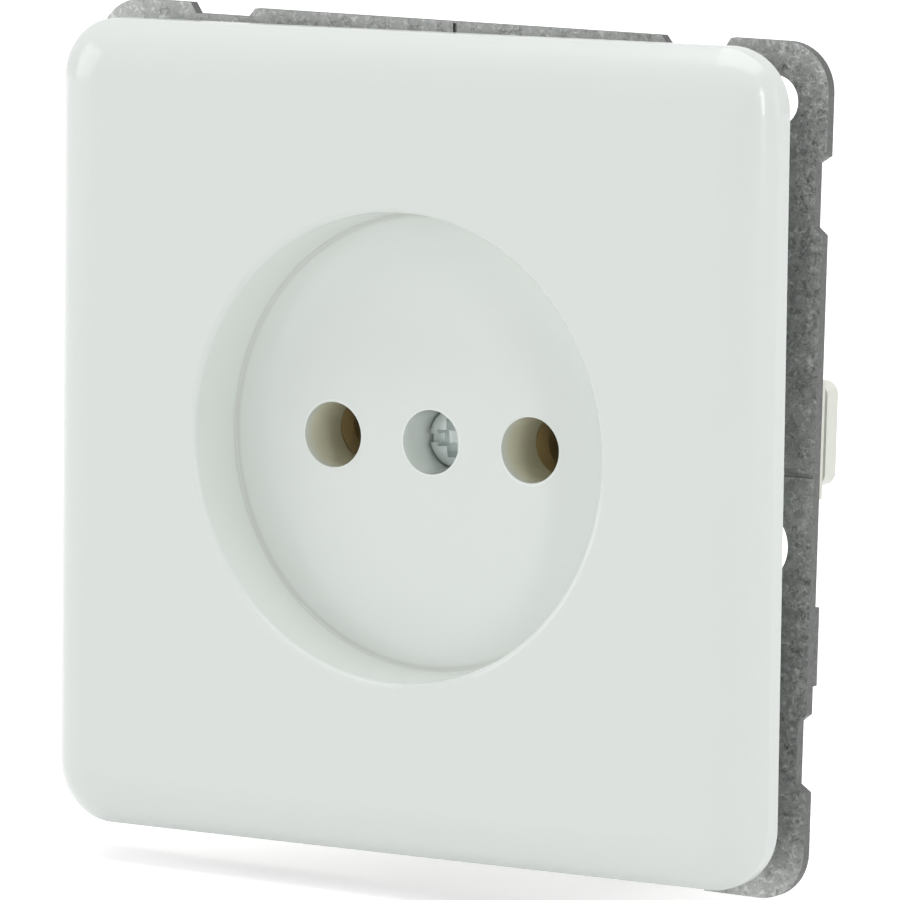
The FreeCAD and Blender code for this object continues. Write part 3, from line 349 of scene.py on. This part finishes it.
def turned_group():
    """Plated or bare metal: cloudy tone, fine lines drawn along Y, and a worn sheen."""
    tree, given, out = new_group(
        "Worked metal",
        {"Colour": (0.6, 0.6, 0.6), "Tarnish": (0.4, 0.4, 0.4), "Stain": 0.4, "Gloss": 0.3, "Lines": 0.5},
        {"Colour": "NodeSocketColor", "Roughness": "NodeSocketFloat", "Height": "NodeSocketFloat"},
    )
    cloud_scale, line_scale, line_shape = 380.0, 6000.0, (1.0, 0.08, 1.0)
    stain_dulls, lines_dull = 0.25, 0.2
    place = object_place(tree)
    cloud = spread(tree, noise(tree, place, cloud_scale, 5.0, 0.6), 0.42, 0.72)
    patch = maths(tree, "MULTIPLY", cloud, given["Stain"])
    tree.links.new(mixed(tree, patch, given["Colour"], given["Tarnish"]), out["Colour"])
    lines = noise(tree, stretched(tree, place, line_shape), line_scale, 2.0, 0.6)
    rough = maths(tree, "ADD", given["Gloss"], maths(tree, "MULTIPLY", patch, stain_dulls))
    streak = maths(tree, "MULTIPLY", maths(tree, "SUBTRACT", lines, 0.5), lines_dull)
    tree.links.new(maths(tree, "ADD", rough, streak, clamp=True), out["Roughness"])
    tree.links.new(maths(tree, "MULTIPLY", lines, given["Lines"]), out["Height"])
    return tree


def finish_material(name, group, values, bump_depth, shader):
    """A material whose colour, roughness and bump come from a group, with the rest set on its shader."""
    material = bpy.data.materials.new(name)
    material.use_nodes = True
    tree = material.node_tree
    tree.nodes.clear()
    source = add_node(tree, "ShaderNodeGroup", node_tree=group)
    link_in(tree, source, values)
    bump = add_node(
        tree, "ShaderNodeBump", {"Strength": 1.0, "Distance": bump_depth, "Height": source.outputs["Height"]}
    )
    surface = add_node(
        tree,
        "ShaderNodeBsdfPrincipled",
        {
            "Base Color": source.outputs["Colour"],
            "Roughness": source.outputs["Roughness"],
            "Normal": bump.outputs[0],
            **shader,
        },
    )
    end = add_node(tree, "ShaderNodeOutputMaterial")
    tree.links.new(surface.outputs[0], end.inputs[0])
    return material


# The cover's recess and its holes, as in the CAD.
RECESS_FLOOR, RECESS_RADIUS = -3.12 * MM, 19.05 * MM
HOLE_ASIDE, HOLE_RADIUS = 9.5 * MM, 2.75 * MM
# Where the tones of the cover fade into each other: the recess's painted light, the painted shade in its
# corner, and the painted highlight on the holes' rims.
LIP_FADE = (RECESS_RADIUS + 0.35 * MM, RECESS_RADIUS + 0.85 * MM)
CREASE_SHADE_FADE, CREASE_SHADE_SHARE = (0.1 * MM, 0.5 * MM), 0.7
RIM_HIGHLIGHT_FADE = (0.02 * MM, 0.11 * MM)
SHAFT_DEPTH = (RECESS_FLOOR, RECESS_FLOOR + 1.5 * MM)
PIN_SHAFTS = (4.0 * MM, 5.0 * MM)


def tint_recess(tree, tones):
    """Changes the cover's colour: paints light into the recess, paints shade into its corner round the
    floor, gives the shafts their beige, and paints a highlight on the holes' rims.
    """
    x, deep, z = add_node(tree, "ShaderNodeSeparateXYZ", {0: object_place(tree)}).outputs
    aside = maths(tree, "ABSOLUTE", x)
    high = maths(tree, "MULTIPLY", z, z)
    off_floor = maths(tree, "ABSOLUTE", maths(tree, "SUBTRACT", deep, RECESS_FLOOR))
    # How far a place is from the recess's axis, and from the nearest hole's.
    reach = maths(tree, "SQRT", maths(tree, "MULTIPLY_ADD", x, x, high))
    from_pin = maths(tree, "ABSOLUTE", maths(tree, "SUBTRACT", aside, HOLE_ASIDE))
    near = maths(tree, "MINIMUM", aside, from_pin)
    hole = maths(tree, "SQRT", maths(tree, "MULTIPLY_ADD", near, near, high))
    # The masks: inside the recess (painted lighter), its corner (painted shade), the holes' rims (painted
    # highlight), and the shafts of the pins.
    inside = spread(tree, reach, *LIP_FADE, 1.0, 0.0)
    off_corner = maths(tree, "ABSOLUTE", maths(tree, "SUBTRACT", reach, RECESS_RADIUS))
    # Mask of the painted shade in the corner round the recess's floor.
    corner = spread(tree, maths(tree, "MAXIMUM", off_floor, off_corner), *CREASE_SHADE_FADE, 1.0, 0.0)
    off_rim = maths(tree, "ABSOLUTE", maths(tree, "SUBTRACT", hole, HOLE_RADIUS))
    # Mask of the painted highlight on the holes' rims.
    rim_highlight = spread(tree, maths(tree, "MAXIMUM", off_floor, off_rim), *RIM_HIGHLIGHT_FADE, 1.0, 0.0)
    beige = maths(tree, "MULTIPLY", spread(tree, deep, *SHAFT_DEPTH), spread(tree, aside, *PIN_SHAFTS))
    # Painted shade darkens the recess's colour in the corner round its floor.
    low = mixed(tree, maths(tree, "MULTIPLY", corner, CREASE_SHADE_SHARE), tones.recess, tones.crease_shade)
    # Inside the recess the cover takes the painted-light white of the recess, and the shafts their beige.
    tone = mixed(tree, inside, tones.cover, mixed(tree, beige, low, tones.shaft))
    skin = next(node for node in tree.nodes if node.type == "GROUP")
    # Painted highlight: the holes' rims are made paler.
    tree.links.new(mixed(tree, rim_highlight, tone, tones.rim_highlight), skin.inputs["Colour"])


# For each slot: its name, its group, the colour that the user sets, the group's values,
# the depth of its bump, and what is set on the shader itself.
RECIPES = {
    "white_plastic": (
        "White plastic",
        "moulded",
        "cover",
        {"Clouds": 0.012, "Gloss": 0.15, "Wipe": 0.05, "Skin": 0.4},
        0.006 * MM,
        {"IOR": 1.5},
    ),
    "cream_plastic": (
        "Cream plastic",
        "moulded",
        "base",
        {"Clouds": 0.06, "Gloss": 0.42, "Wipe": 0.08, "Skin": 1.0},
        0.012 * MM,
        {"IOR": 1.5},
    ),
    "lever_plastic": (
        "Lever plastic",
        "moulded",
        "lever",
        {"Clouds": 0.04, "Gloss": 0.34, "Wipe": 0.05, "Skin": 0.8},
        0.01 * MM,
        {"IOR": 1.5},
    ),
    "galvanised_sheet": (
        "Galvanised sheet",
        "spangle",
        "sheet",
        {
            "Crystal": 1100.0,
            "Contrast": 0.34,
            "Flecks": 0.4,
            "Gloss": 0.5,
            "Curls": 1.0,
            "Cut edge": 1.0,
        },
        0.01 * MM,
        {"Metallic": 0.8},
    ),
    "zinc_plated_steel": (
        "Bright zinc plate",
        "worked",
        "plate",
        {"Tarnish": (0.5, 0.53, 0.52), "Stain": 0.15, "Gloss": 0.38, "Lines": 0.2},
        0.006 * MM,
        {"Metallic": 0.85},
    ),
    "spring_steel": (
        "Spring steel",
        "worked",
        "spring",
        {"Tarnish": (0.2, 0.19, 0.2), "Stain": 0.4, "Gloss": 0.3, "Lines": 0.8},
        0.006 * MM,
        {"Metallic": 1.0},
    ),
    "contact_brass": (
        "Stamped brass",
        "worked",
        "brass",
        {"Tarnish": (0.5, 0.38, 0.22), "Stain": 0.5, "Gloss": 0.36, "Lines": 0.8},
        0.006 * MM,
        {"Metallic": 0.7},
    ),
}
GROUPS, FINISHES = {}, {}


def finish(slot_name):
    """The material of one of the record's slots. Each is made on first use."""
    if not GROUPS:
        GROUPS.update(moulded=moulded_group(), spangle=spangle_group(), worked=turned_group())
    if slot_name not in FINISHES:
        tones = bpy.context.scene.socket_colours
        name, kind, tone, values, bump_depth, shader = RECIPES[slot_name]
        values = {"Colour": getattr(tones, tone), **values}
        made = finish_material(name, GROUPS[kind], values, bump_depth, shader)
        if slot_name == "white_plastic":
            tint_recess(made.node_tree, tones)
        FINISHES[slot_name] = made
    return FINISHES[slot_name]


# ---------------------------------------------------------------------- meshes


# Edges sharper than these stay sharp: on a new piece, on a cut one, and where a screw is bevelled.
SHARP_ANGLE, CUT_ANGLE, BEVEL_ANGLE = math.radians(32), math.radians(30), math.radians(50)


def dress(node_name, slot_name):
    """Gives a CAD piece its finish."""
    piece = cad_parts[node_name]
    piece.data.materials.clear()
    piece.data.materials.append(finish(slot_name))
    for polygon in piece.data.polygons:
        polygon.material_index = 0


def mesh_object(name, bm, slot_name):
    """A new piece from a bmesh, smooth except at its sharp edges."""
    bmesh.ops.recalc_face_normals(bm, faces=bm.faces[:])
    mesh = bpy.data.meshes.new(name)
    bm.to_mesh(mesh)
    bm.free()
    mesh.shade_smooth()
    mesh.set_sharp_from_angle(angle=SHARP_ANGLE)
    piece = bpy.data.objects.new(name, mesh)
    bpy.context.scene.collection.objects.link(piece)
    if slot_name:
        mesh.materials.append(finish(slot_name))
    return piece


def bored(piece, cutters):
    """Cuts the cutters out of a piece, and removes them."""
    for cutter in cutters:
        cut = piece.modifiers.new("Cut", "BOOLEAN")
        cut.object = cutter
        cut.operation = "DIFFERENCE"
        cut.solver = "EXACT"
    bpy.context.view_layer.update()
    seen = piece.evaluated_get(bpy.context.evaluated_depsgraph_get())
    mesh = bpy.data.meshes.new_from_object(seen)
    piece.modifiers.clear()
    old = piece.data
    piece.data = mesh
    mesh.name = old.name
    bpy.data.meshes.remove(old)
    mesh.set_sharp_from_angle(angle=CUT_ANGLE)
    for cutter in cutters:
        bpy.data.objects.remove(cutter)


def wedge(name, size_top, size_bottom, front, deep, centre, turn):
    """A tapered cutter along +Y: two rectangles (x, z) joined, turned about its own axis."""
    bm = bmesh.new()
    rings = []
    for (wide, high), y in ((size_top, front), (size_bottom, deep)):
        corners = [(-wide, -high), (wide, -high), (wide, high), (-wide, high)]
        rings.append([bm.verts.new((x / 2, y, z / 2)) for x, z in corners])
    for k in range(4):
        bm.faces.new([rings[0][k], rings[0][(k + 1) % 4], rings[1][(k + 1) % 4], rings[1][k]])
    bm.faces.new(rings[0])
    bm.faces.new(rings[1][::-1])
    place = Matrix.Translation((centre[0], 0, centre[1])) @ Matrix.Rotation(turn, 4, "Y")
    bmesh.ops.transform(bm, matrix=place, verts=bm.verts[:])
    return mesh_object(name, bm, None)


# A screw's head: how much of its face is domed and how high, then points of its rim (inward
# from its radius, back from its front) and of its underside (inward, forward from its seat).
DOME_STEPS, DOME_SHARE, DOME_HIGH = 4, 0.86, 0.12 * MM
HEAD_RIM = ((0.16 * MM, 0.2 * MM), (0.048 * MM, 0.3 * MM), (0.0, 0.5 * MM))
HEAD_UNDERSIDE = ((0.0, 0.22 * MM), (0.1 * MM, 0.06 * MM), (0.22 * MM, 0.0))
FILLET = 0.06 * MM
# Its thread: rows of the mesh in a turn, turns of runout, the groove's form, and the end.
THREAD_ROWS, RUNOUT_TURNS, GROOVE_SLOPE, GROOVE_CREST = 7, 0.9, 1.55, 0.25
END_CHAMFER, CHAMFER_SLOPE = 0.45 * MM, 0.9


def add_ring(bm, radii, y):
    """A ring of vertices round the Y axis, one for each radius."""
    steps = len(radii)
    turns = [2 * math.pi * k / steps for k in range(steps)]
    return [bm.verts.new((r * math.cos(t), y, r * math.sin(t))) for r, t in zip(radii, turns)]


def head_profile(radius, front, under, shank):
    """A screw's head as pairs of a radius and a Y, from its domed face to its shank."""
    profile = []
    for k in range(1, DOME_STEPS + 1):
        share = k / DOME_STEPS
        profile.append((radius * share * DOME_SHARE, front + DOME_HIGH * share**2))
    profile += [(radius - inward, front + back) for inward, back in HEAD_RIM]
    profile += [(radius - inward, under - forward) for inward, forward in HEAD_UNDERSIDE]
    return profile + [(shank + FILLET, under)]


def thread_radii(y, under, end, shank, sizes):
    """The radii of a ring of the thread, which runs out at the head and is chamfered at the end."""
    runout = min(1.0, (y - under) / (RUNOUT_TURNS * sizes.pitch))
    chamfer = max(0.0, y - (end - END_CHAMFER)) * CHAMFER_SLOPE
    radii = []
    for k in range(sizes.turn_steps):
        phase = ((y - under) / sizes.pitch - k / sizes.turn_steps) % 1.0
        groove = min(1.0, max(0.0, GROOVE_SLOPE * (1 - abs(2 * phase - 1)) - GROOVE_CREST))
        radii.append(shank - sizes.thread * groove * runout - chamfer)
    return radii


def screw_mesh(centre, front, end, head_radius, head_high, shank, sizes):
    """A screw along +Y: domed head, underside, a thread with runouts, and a chamfered end."""
    steps = sizes.turn_steps
    under = front + head_high
    bm = bmesh.new()
    rings = [
        add_ring(bm, [radius] * steps, y) for radius, y in head_profile(head_radius, front, under, shank)
    ]
    tip = bm.verts.new((0, front, 0))
    for k in range(steps):
        bm.faces.new([tip, rings[0][k], rings[0][(k + 1) % steps]])
    rows = int((end - under) / sizes.pitch * THREAD_ROWS)
    for row in range(rows + 1):
        y = under + (end - under) * row / rows
        rings.append(add_ring(bm, thread_radii(y, under, end, shank, sizes), y))
    for low, high in zip(rings, rings[1:]):
        for k in range(steps):
            after = (k + 1) % steps
            bm.faces.new([low[k], low[after], high[after], high[k]])
    bm.faces.new(rings[-1])
    bmesh.ops.transform(bm, matrix=Matrix.Translation((centre[0], 0, centre[1])), verts=bm.verts[:])
    return bm


# Cutters of a screw's drive, at their top and their bottom: a length in radii of the head, and
# a width in widths of the slot. The cross goes deeper than the slot.
SLOT_CUT = ((3.0, 1.0), (3.0, 0.9))
CROSS_CUT = ((1.365, 1.9), (0.975, 1.3))
CUT_ABOVE, CROSS_DEEPER, EDGE_ROUNDING = 0.2 * MM, 0.5 * MM, 0.05 * MM
QUARTER = math.pi / 2


def make_screw(node_name, body, head_high, shank, turn):
    """Replaces a plain CAD screw by one with a thread, a slot and a cross."""
    sizes = bpy.context.scene.socket_sizes
    low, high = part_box(node_name)
    centre = ((low[0] + high[0]) / 2, (low[2] + high[2]) / 2)
    head_radius = (high[0] - low[0]) / 2
    bm = screw_mesh(centre, low[1], high[1], head_radius, head_high, shank, sizes)
    piece = mesh_object(f"{node_name}_threaded", bm, "zinc_plated_steel")
    top, deep = low[1] - CUT_ABOVE, low[1] + sizes.slot_depth
    cutters = []
    for name, ends, bottom, angle in (
        ("slot_cutter", SLOT_CUT, deep, turn),
        ("cross_cutter", CROSS_CUT, deep + CROSS_DEEPER, turn),
        ("cross_cutter", CROSS_CUT, deep + CROSS_DEEPER, turn + QUARTER),
    ):
        sized = [(head_radius * long, sizes.slot_width * wide) for long, wide in ends]
        cutters.append(wedge(name, *sized, top, bottom, centre, angle))
    bored(piece, cutters)
    edge = piece.modifiers.new("Edge rounding", "BEVEL")
    edge.width = EDGE_ROUNDING
    edge.segments = 2
    edge.limit_method = "ANGLE"
    edge.angle_limit = BEVEL_ANGLE
    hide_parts(node_name)
    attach(piece, body)


# ---------------------------------------------------------------------- operators


# How far each screw's slot is turned from level.
COVER_SCREW_TURN = math.radians(-4)
CLAW_SCREW_TURNS = {"left": math.radians(20), "right": math.radians(65)}


class SOCKET_OT_cover(bpy.types.Operator):
    """Finishes the white cover with its recess"""

    bl_idname = "socket.cover"
    bl_label = "Cover"

    def execute(self, context):
        dress("cover_plate", "white_plastic")
        return {"FINISHED"}


class SOCKET_OT_base(bpy.types.Operator):
    """Finishes the base and the rear cap"""

    bl_idname = "socket.base"
    bl_label = "Base and cap"

    def execute(self, context):
        dress("base_body", "cream_plastic")
        dress("rear_cap", "cream_plastic")
        for side in SIDES:
            dress(f"release_lever_{side}", "lever_plastic")
        return {"FINISHED"}


class SOCKET_OT_frame(bpy.types.Operator):
    """Finishes the galvanised support frame and the claws"""

    bl_idname = "socket.frame"
    bl_label = "Frame and claws"

    def execute(self, context):
        dress("support_frame", "galvanised_sheet")
        for side in SIDES:
            dress(f"claw_{side}", "galvanised_sheet")
        return {"FINISHED"}


class SOCKET_OT_fasteners(bpy.types.Operator):
    """Makes the threaded screws and finishes the nuts, rivets and pins"""

    bl_idname = "socket.fasteners"
    bl_label = "Screws, nuts and rivets"

    def execute(self, context):
        sizes = context.scene.socket_sizes
        make_screw(
            "cover_screw", "socket", sizes.cover_head, sizes.cover_shank, COVER_SCREW_TURN
        )
        for side in SIDES:
            name = f"claw_screw_{side}"
            make_screw(name, name, sizes.claw_head, sizes.claw_shank, CLAW_SCREW_TURNS[side])
            dress(f"claw_nut_{side}", "zinc_plated_steel")
            dress(f"claw_pin_{side}", "zinc_plated_steel")
        dress("frame_rivets", "zinc_plated_steel")
        dress("screw_nut", "zinc_plated_steel")
        return {"FINISHED"}


class SOCKET_OT_terminals(bpy.types.Operator):
    """Finishes the contacts with their springs and the wire clamps"""

    bl_idname = "socket.terminals"
    bl_label = "Contacts and clamps"

    def execute(self, context):
        for side in SIDES:
            dress(f"contact_{side}", "contact_brass")
            dress(f"contact_spring_{side}", "spring_steel")
            dress(f"wire_clamp_upper_{side}", "spring_steel")
            dress(f"wire_clamp_lower_{side}", "spring_steel")
        return {"FINISHED"}


# Each lamp: its name, where it is seen from the socket (as for toward()), its width and height
# in metres, and the property that holds its radiance.
PANELS = (
    ("Front light", (-10, 4, 1.6), (1.7, 1.0), "front_light"),
    ("Side light", (95, 8, 1.5), (1.2, 1.2), "side_light"),
    ("Left light", (-60, 8, 1.5), (1.0, 1.2), "left_light"),
    ("Top light", (0, 85, 1.5), (1.6, 1.2), "top_light"),
    ("Strip light", (54, 14, 2.0), (0.13, 1.3), "strip_light"),
)


def aim(thing, place, target):
    """Puts a thing at a place and turns it to look at a target."""
    thing.location = place
    thing.rotation_mode = "QUATERNION"
    thing.rotation_quaternion = (Vector(target) - Vector(place)).to_track_quat("-Z", "Y")


def toward(turn, rise, distance):
    """A place seen from the socket: degrees to the right of straight ahead, degrees up, metres away."""
    turn, rise = math.radians(turn), math.radians(rise)
    level = distance * math.cos(rise)
    return (level * math.sin(turn), -level * math.cos(turn), distance * math.sin(rise))


def add_panel(name, place, wide, high, radiance):
    """A rectangular light of a given radiance, aimed at the socket."""
    lamp = bpy.data.lights.new(name, "AREA")
    lamp.shape = "RECTANGLE"
    lamp.size, lamp.size_y = wide, high
    lamp.energy = radiance * math.pi * wide * high
    thing = bpy.data.objects.new(name, lamp)
    bpy.context.scene.collection.objects.link(thing)
    aim(thing, place, (0, 0, 0))


# The floor's two tones and the scale of their clouds, and its own glow near the socket and
# far from it, with the distances between which it changes.
FLOOR_TONES, FLOOR_CLOUDS = ((0.95, 0.95, 0.95), (0.98, 0.98, 0.975)), 6.0
FLOOR_GLOW, GLOW_FADE = (0.5, 0.75), (0.15, 0.8)


def add_floor(stage):
    """A pale floor. To the camera it shows white, with a faint shadow of the socket on it."""
    half = stage.floor_size / 2
    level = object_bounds()[0][2] - stage.floor_drop
    bm = bmesh.new()
    corners = [(-half, -half), (half, -half), (half, half), (-half, half)]
    bm.faces.new([bm.verts.new((x, y, level)) for x, y in corners])
    floor = mesh_object("Floor", bm, None)
    material = bpy.data.materials.new("Pale floor")
    material.use_nodes = True
    tree = material.node_tree
    tree.nodes.clear()
    place = object_place(tree)
    tone = mixed(tree, noise(tree, place, FLOOR_CLOUDS, 3.0), *FLOOR_TONES)
    matt = add_node(tree, "ShaderNodeBsdfDiffuse", {"Color": tone}).outputs[0]
    away = add_node(tree, "ShaderNodeVectorMath", {0: place}, operation="LENGTH").outputs["Value"]
    shine = spread(tree, away, *GLOW_FADE, *FLOOR_GLOW)
    glow = add_node(tree, "ShaderNodeEmission", {"Color": (1, 1, 1), "Strength": shine}).outputs[0]
    lit = add_node(tree, "ShaderNodeAddShader", {0: matt, 1: glow}).outputs[0]
    both = add_node(tree, "ShaderNodeMixShader", {0: seen_directly(tree), 1: matt, 2: lit})
    end = add_node(tree, "ShaderNodeOutputMaterial")
    tree.links.new(both.outputs[0], end.inputs[0])
    floor.data.materials.append(material)
    floor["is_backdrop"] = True


def add_world(stage):
    """Light from all round, which shows as plain white behind the socket."""
    world = bpy.data.worlds.new("White room")
    bpy.context.scene.world = world
    world.use_nodes = True
    tree = world.node_tree
    tree.nodes.clear()
    power = spread(tree, seen_directly(tree), 0.0, 1.0, stage.world_light, 1.0)
    glow = add_node(tree, "ShaderNodeBackground", {"Color": (1.0, 1.0, 1.0), "Strength": power})
    end = add_node(tree, "ShaderNodeOutputWorld")
    tree.links.new(glow.outputs[0], end.inputs[0])


# The camera was fitted to the outlines in the photo, in the axes of the cover, whose front it
# looks at. The skew is the cover's turn against the frame, and the aim is how far off the
# middle it looks, as slopes.
CAMERA_TURN, CAMERA_RISE, CAMERA_ROLL = math.radians(31.07), math.radians(6.63), math.radians(0.66)
CAMERA_DISTANCE = 0.59905
COVER_FRONT = -0.00912
COVER_SKEW = math.radians(0.96)
AIM_RIGHT, AIM_UP = 0.007783, -0.000125
SENSOR_WIDTH, CLIP_START, CLIP_END = 36.0, 0.05, 20.0


def add_camera(stage):
    """The camera of the photo."""
    back = Vector(
        (
            math.sin(CAMERA_TURN) * math.cos(CAMERA_RISE),
            -math.cos(CAMERA_TURN) * math.cos(CAMERA_RISE),
            math.sin(CAMERA_RISE),
        )
    )
    level = (-back).cross(Vector((0, 0, 1))).normalized()
    up = level.cross(-back)
    right = level * math.cos(CAMERA_ROLL) + up * math.sin(CAMERA_ROLL)
    up = up * math.cos(CAMERA_ROLL) - level * math.sin(CAMERA_ROLL)
    ahead = (-back + right * AIM_RIGHT + up * AIM_UP).normalized()
    right = (right - ahead * right.dot(ahead)).normalized()
    up = right.cross(ahead)
    skew = Matrix.Rotation(-COVER_SKEW, 3, "Y")
    place = skew @ (back * CAMERA_DISTANCE) + Vector((0, COVER_FRONT, 0))
    axes = [skew @ axis for axis in (right, up, -ahead)]
    lens = bpy.data.cameras.new("Camera")
    lens.sensor_width, lens.sensor_fit, lens.lens = SENSOR_WIDTH, "HORIZONTAL", stage.lens
    lens.clip_start, lens.clip_end = CLIP_START, CLIP_END
    camera = bpy.data.objects.new("Camera", lens)
    bpy.context.scene.collection.objects.link(camera)
    turn = Matrix([[axis[row] for axis in axes] for row in range(3)])
    camera.matrix_world = Matrix.Translation(place) @ turn.to_4x4()
    bpy.context.scene.camera = camera


class SOCKET_OT_stage(bpy.types.Operator):
    """Sets up the floor, the light and the camera"""

    bl_idname = "socket.stage"
    bl_label = "Stage and camera"

    def execute(self, context):
        stage = context.scene.socket_stage
        context.scene.view_settings.view_transform = "Standard"
        add_floor(stage)
        add_world(stage)
        for name, place, (wide, high), light in PANELS:
            add_panel(name, toward(*place), wide, high, getattr(stage, light))
        add_camera(stage)
        return {"FINISHED"}


OPERATORS = (
    SOCKET_OT_cover,
    SOCKET_OT_base,
    SOCKET_OT_frame,
    SOCKET_OT_fasteners,
    SOCKET_OT_terminals,
    SOCKET_OT_stage,
)


class SOCKET_PT_panel(bpy.types.Panel):
    bl_idname = "SOCKET_PT_panel"
    bl_label = "Flush wall socket"
    bl_space_type = "VIEW_3D"
    bl_region_type = "UI"
    bl_category = "Socket"

    def draw(self, context):
        for group in (
            context.scene.socket_colours,
            context.scene.socket_sizes,
            context.scene.socket_stage,
        ):
            for name in group.bl_rna.properties.keys():
                if name not in ("rna_type", "name"):
                    self.layout.prop(group, name)
        for operator in OPERATORS:
            self.layout.operator(operator.bl_idname)


CLASSES = (SocketColours, SocketSizes, SocketStage, *OPERATORS, SOCKET_PT_panel)


def register():
    for one in CLASSES:
        bpy.utils.register_class(one)
    bpy.types.Scene.socket_colours = PointerProperty(type=SocketColours)
    bpy.types.Scene.socket_sizes = PointerProperty(type=SocketSizes)
    bpy.types.Scene.socket_stage = PointerProperty(type=SocketStage)


def unregister():
    for name in ("socket_colours", "socket_sizes", "socket_stage"):
        delattr(bpy.types.Scene, name)
    for one in reversed(CLASSES):
        bpy.utils.unregister_class(one)


def main():
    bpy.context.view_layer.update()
    register()
    for operator in OPERATORS:
        family, name = operator.bl_idname.split(".")
        getattr(getattr(bpy.ops, family), name)()


if __name__ == "__main__":
    main()
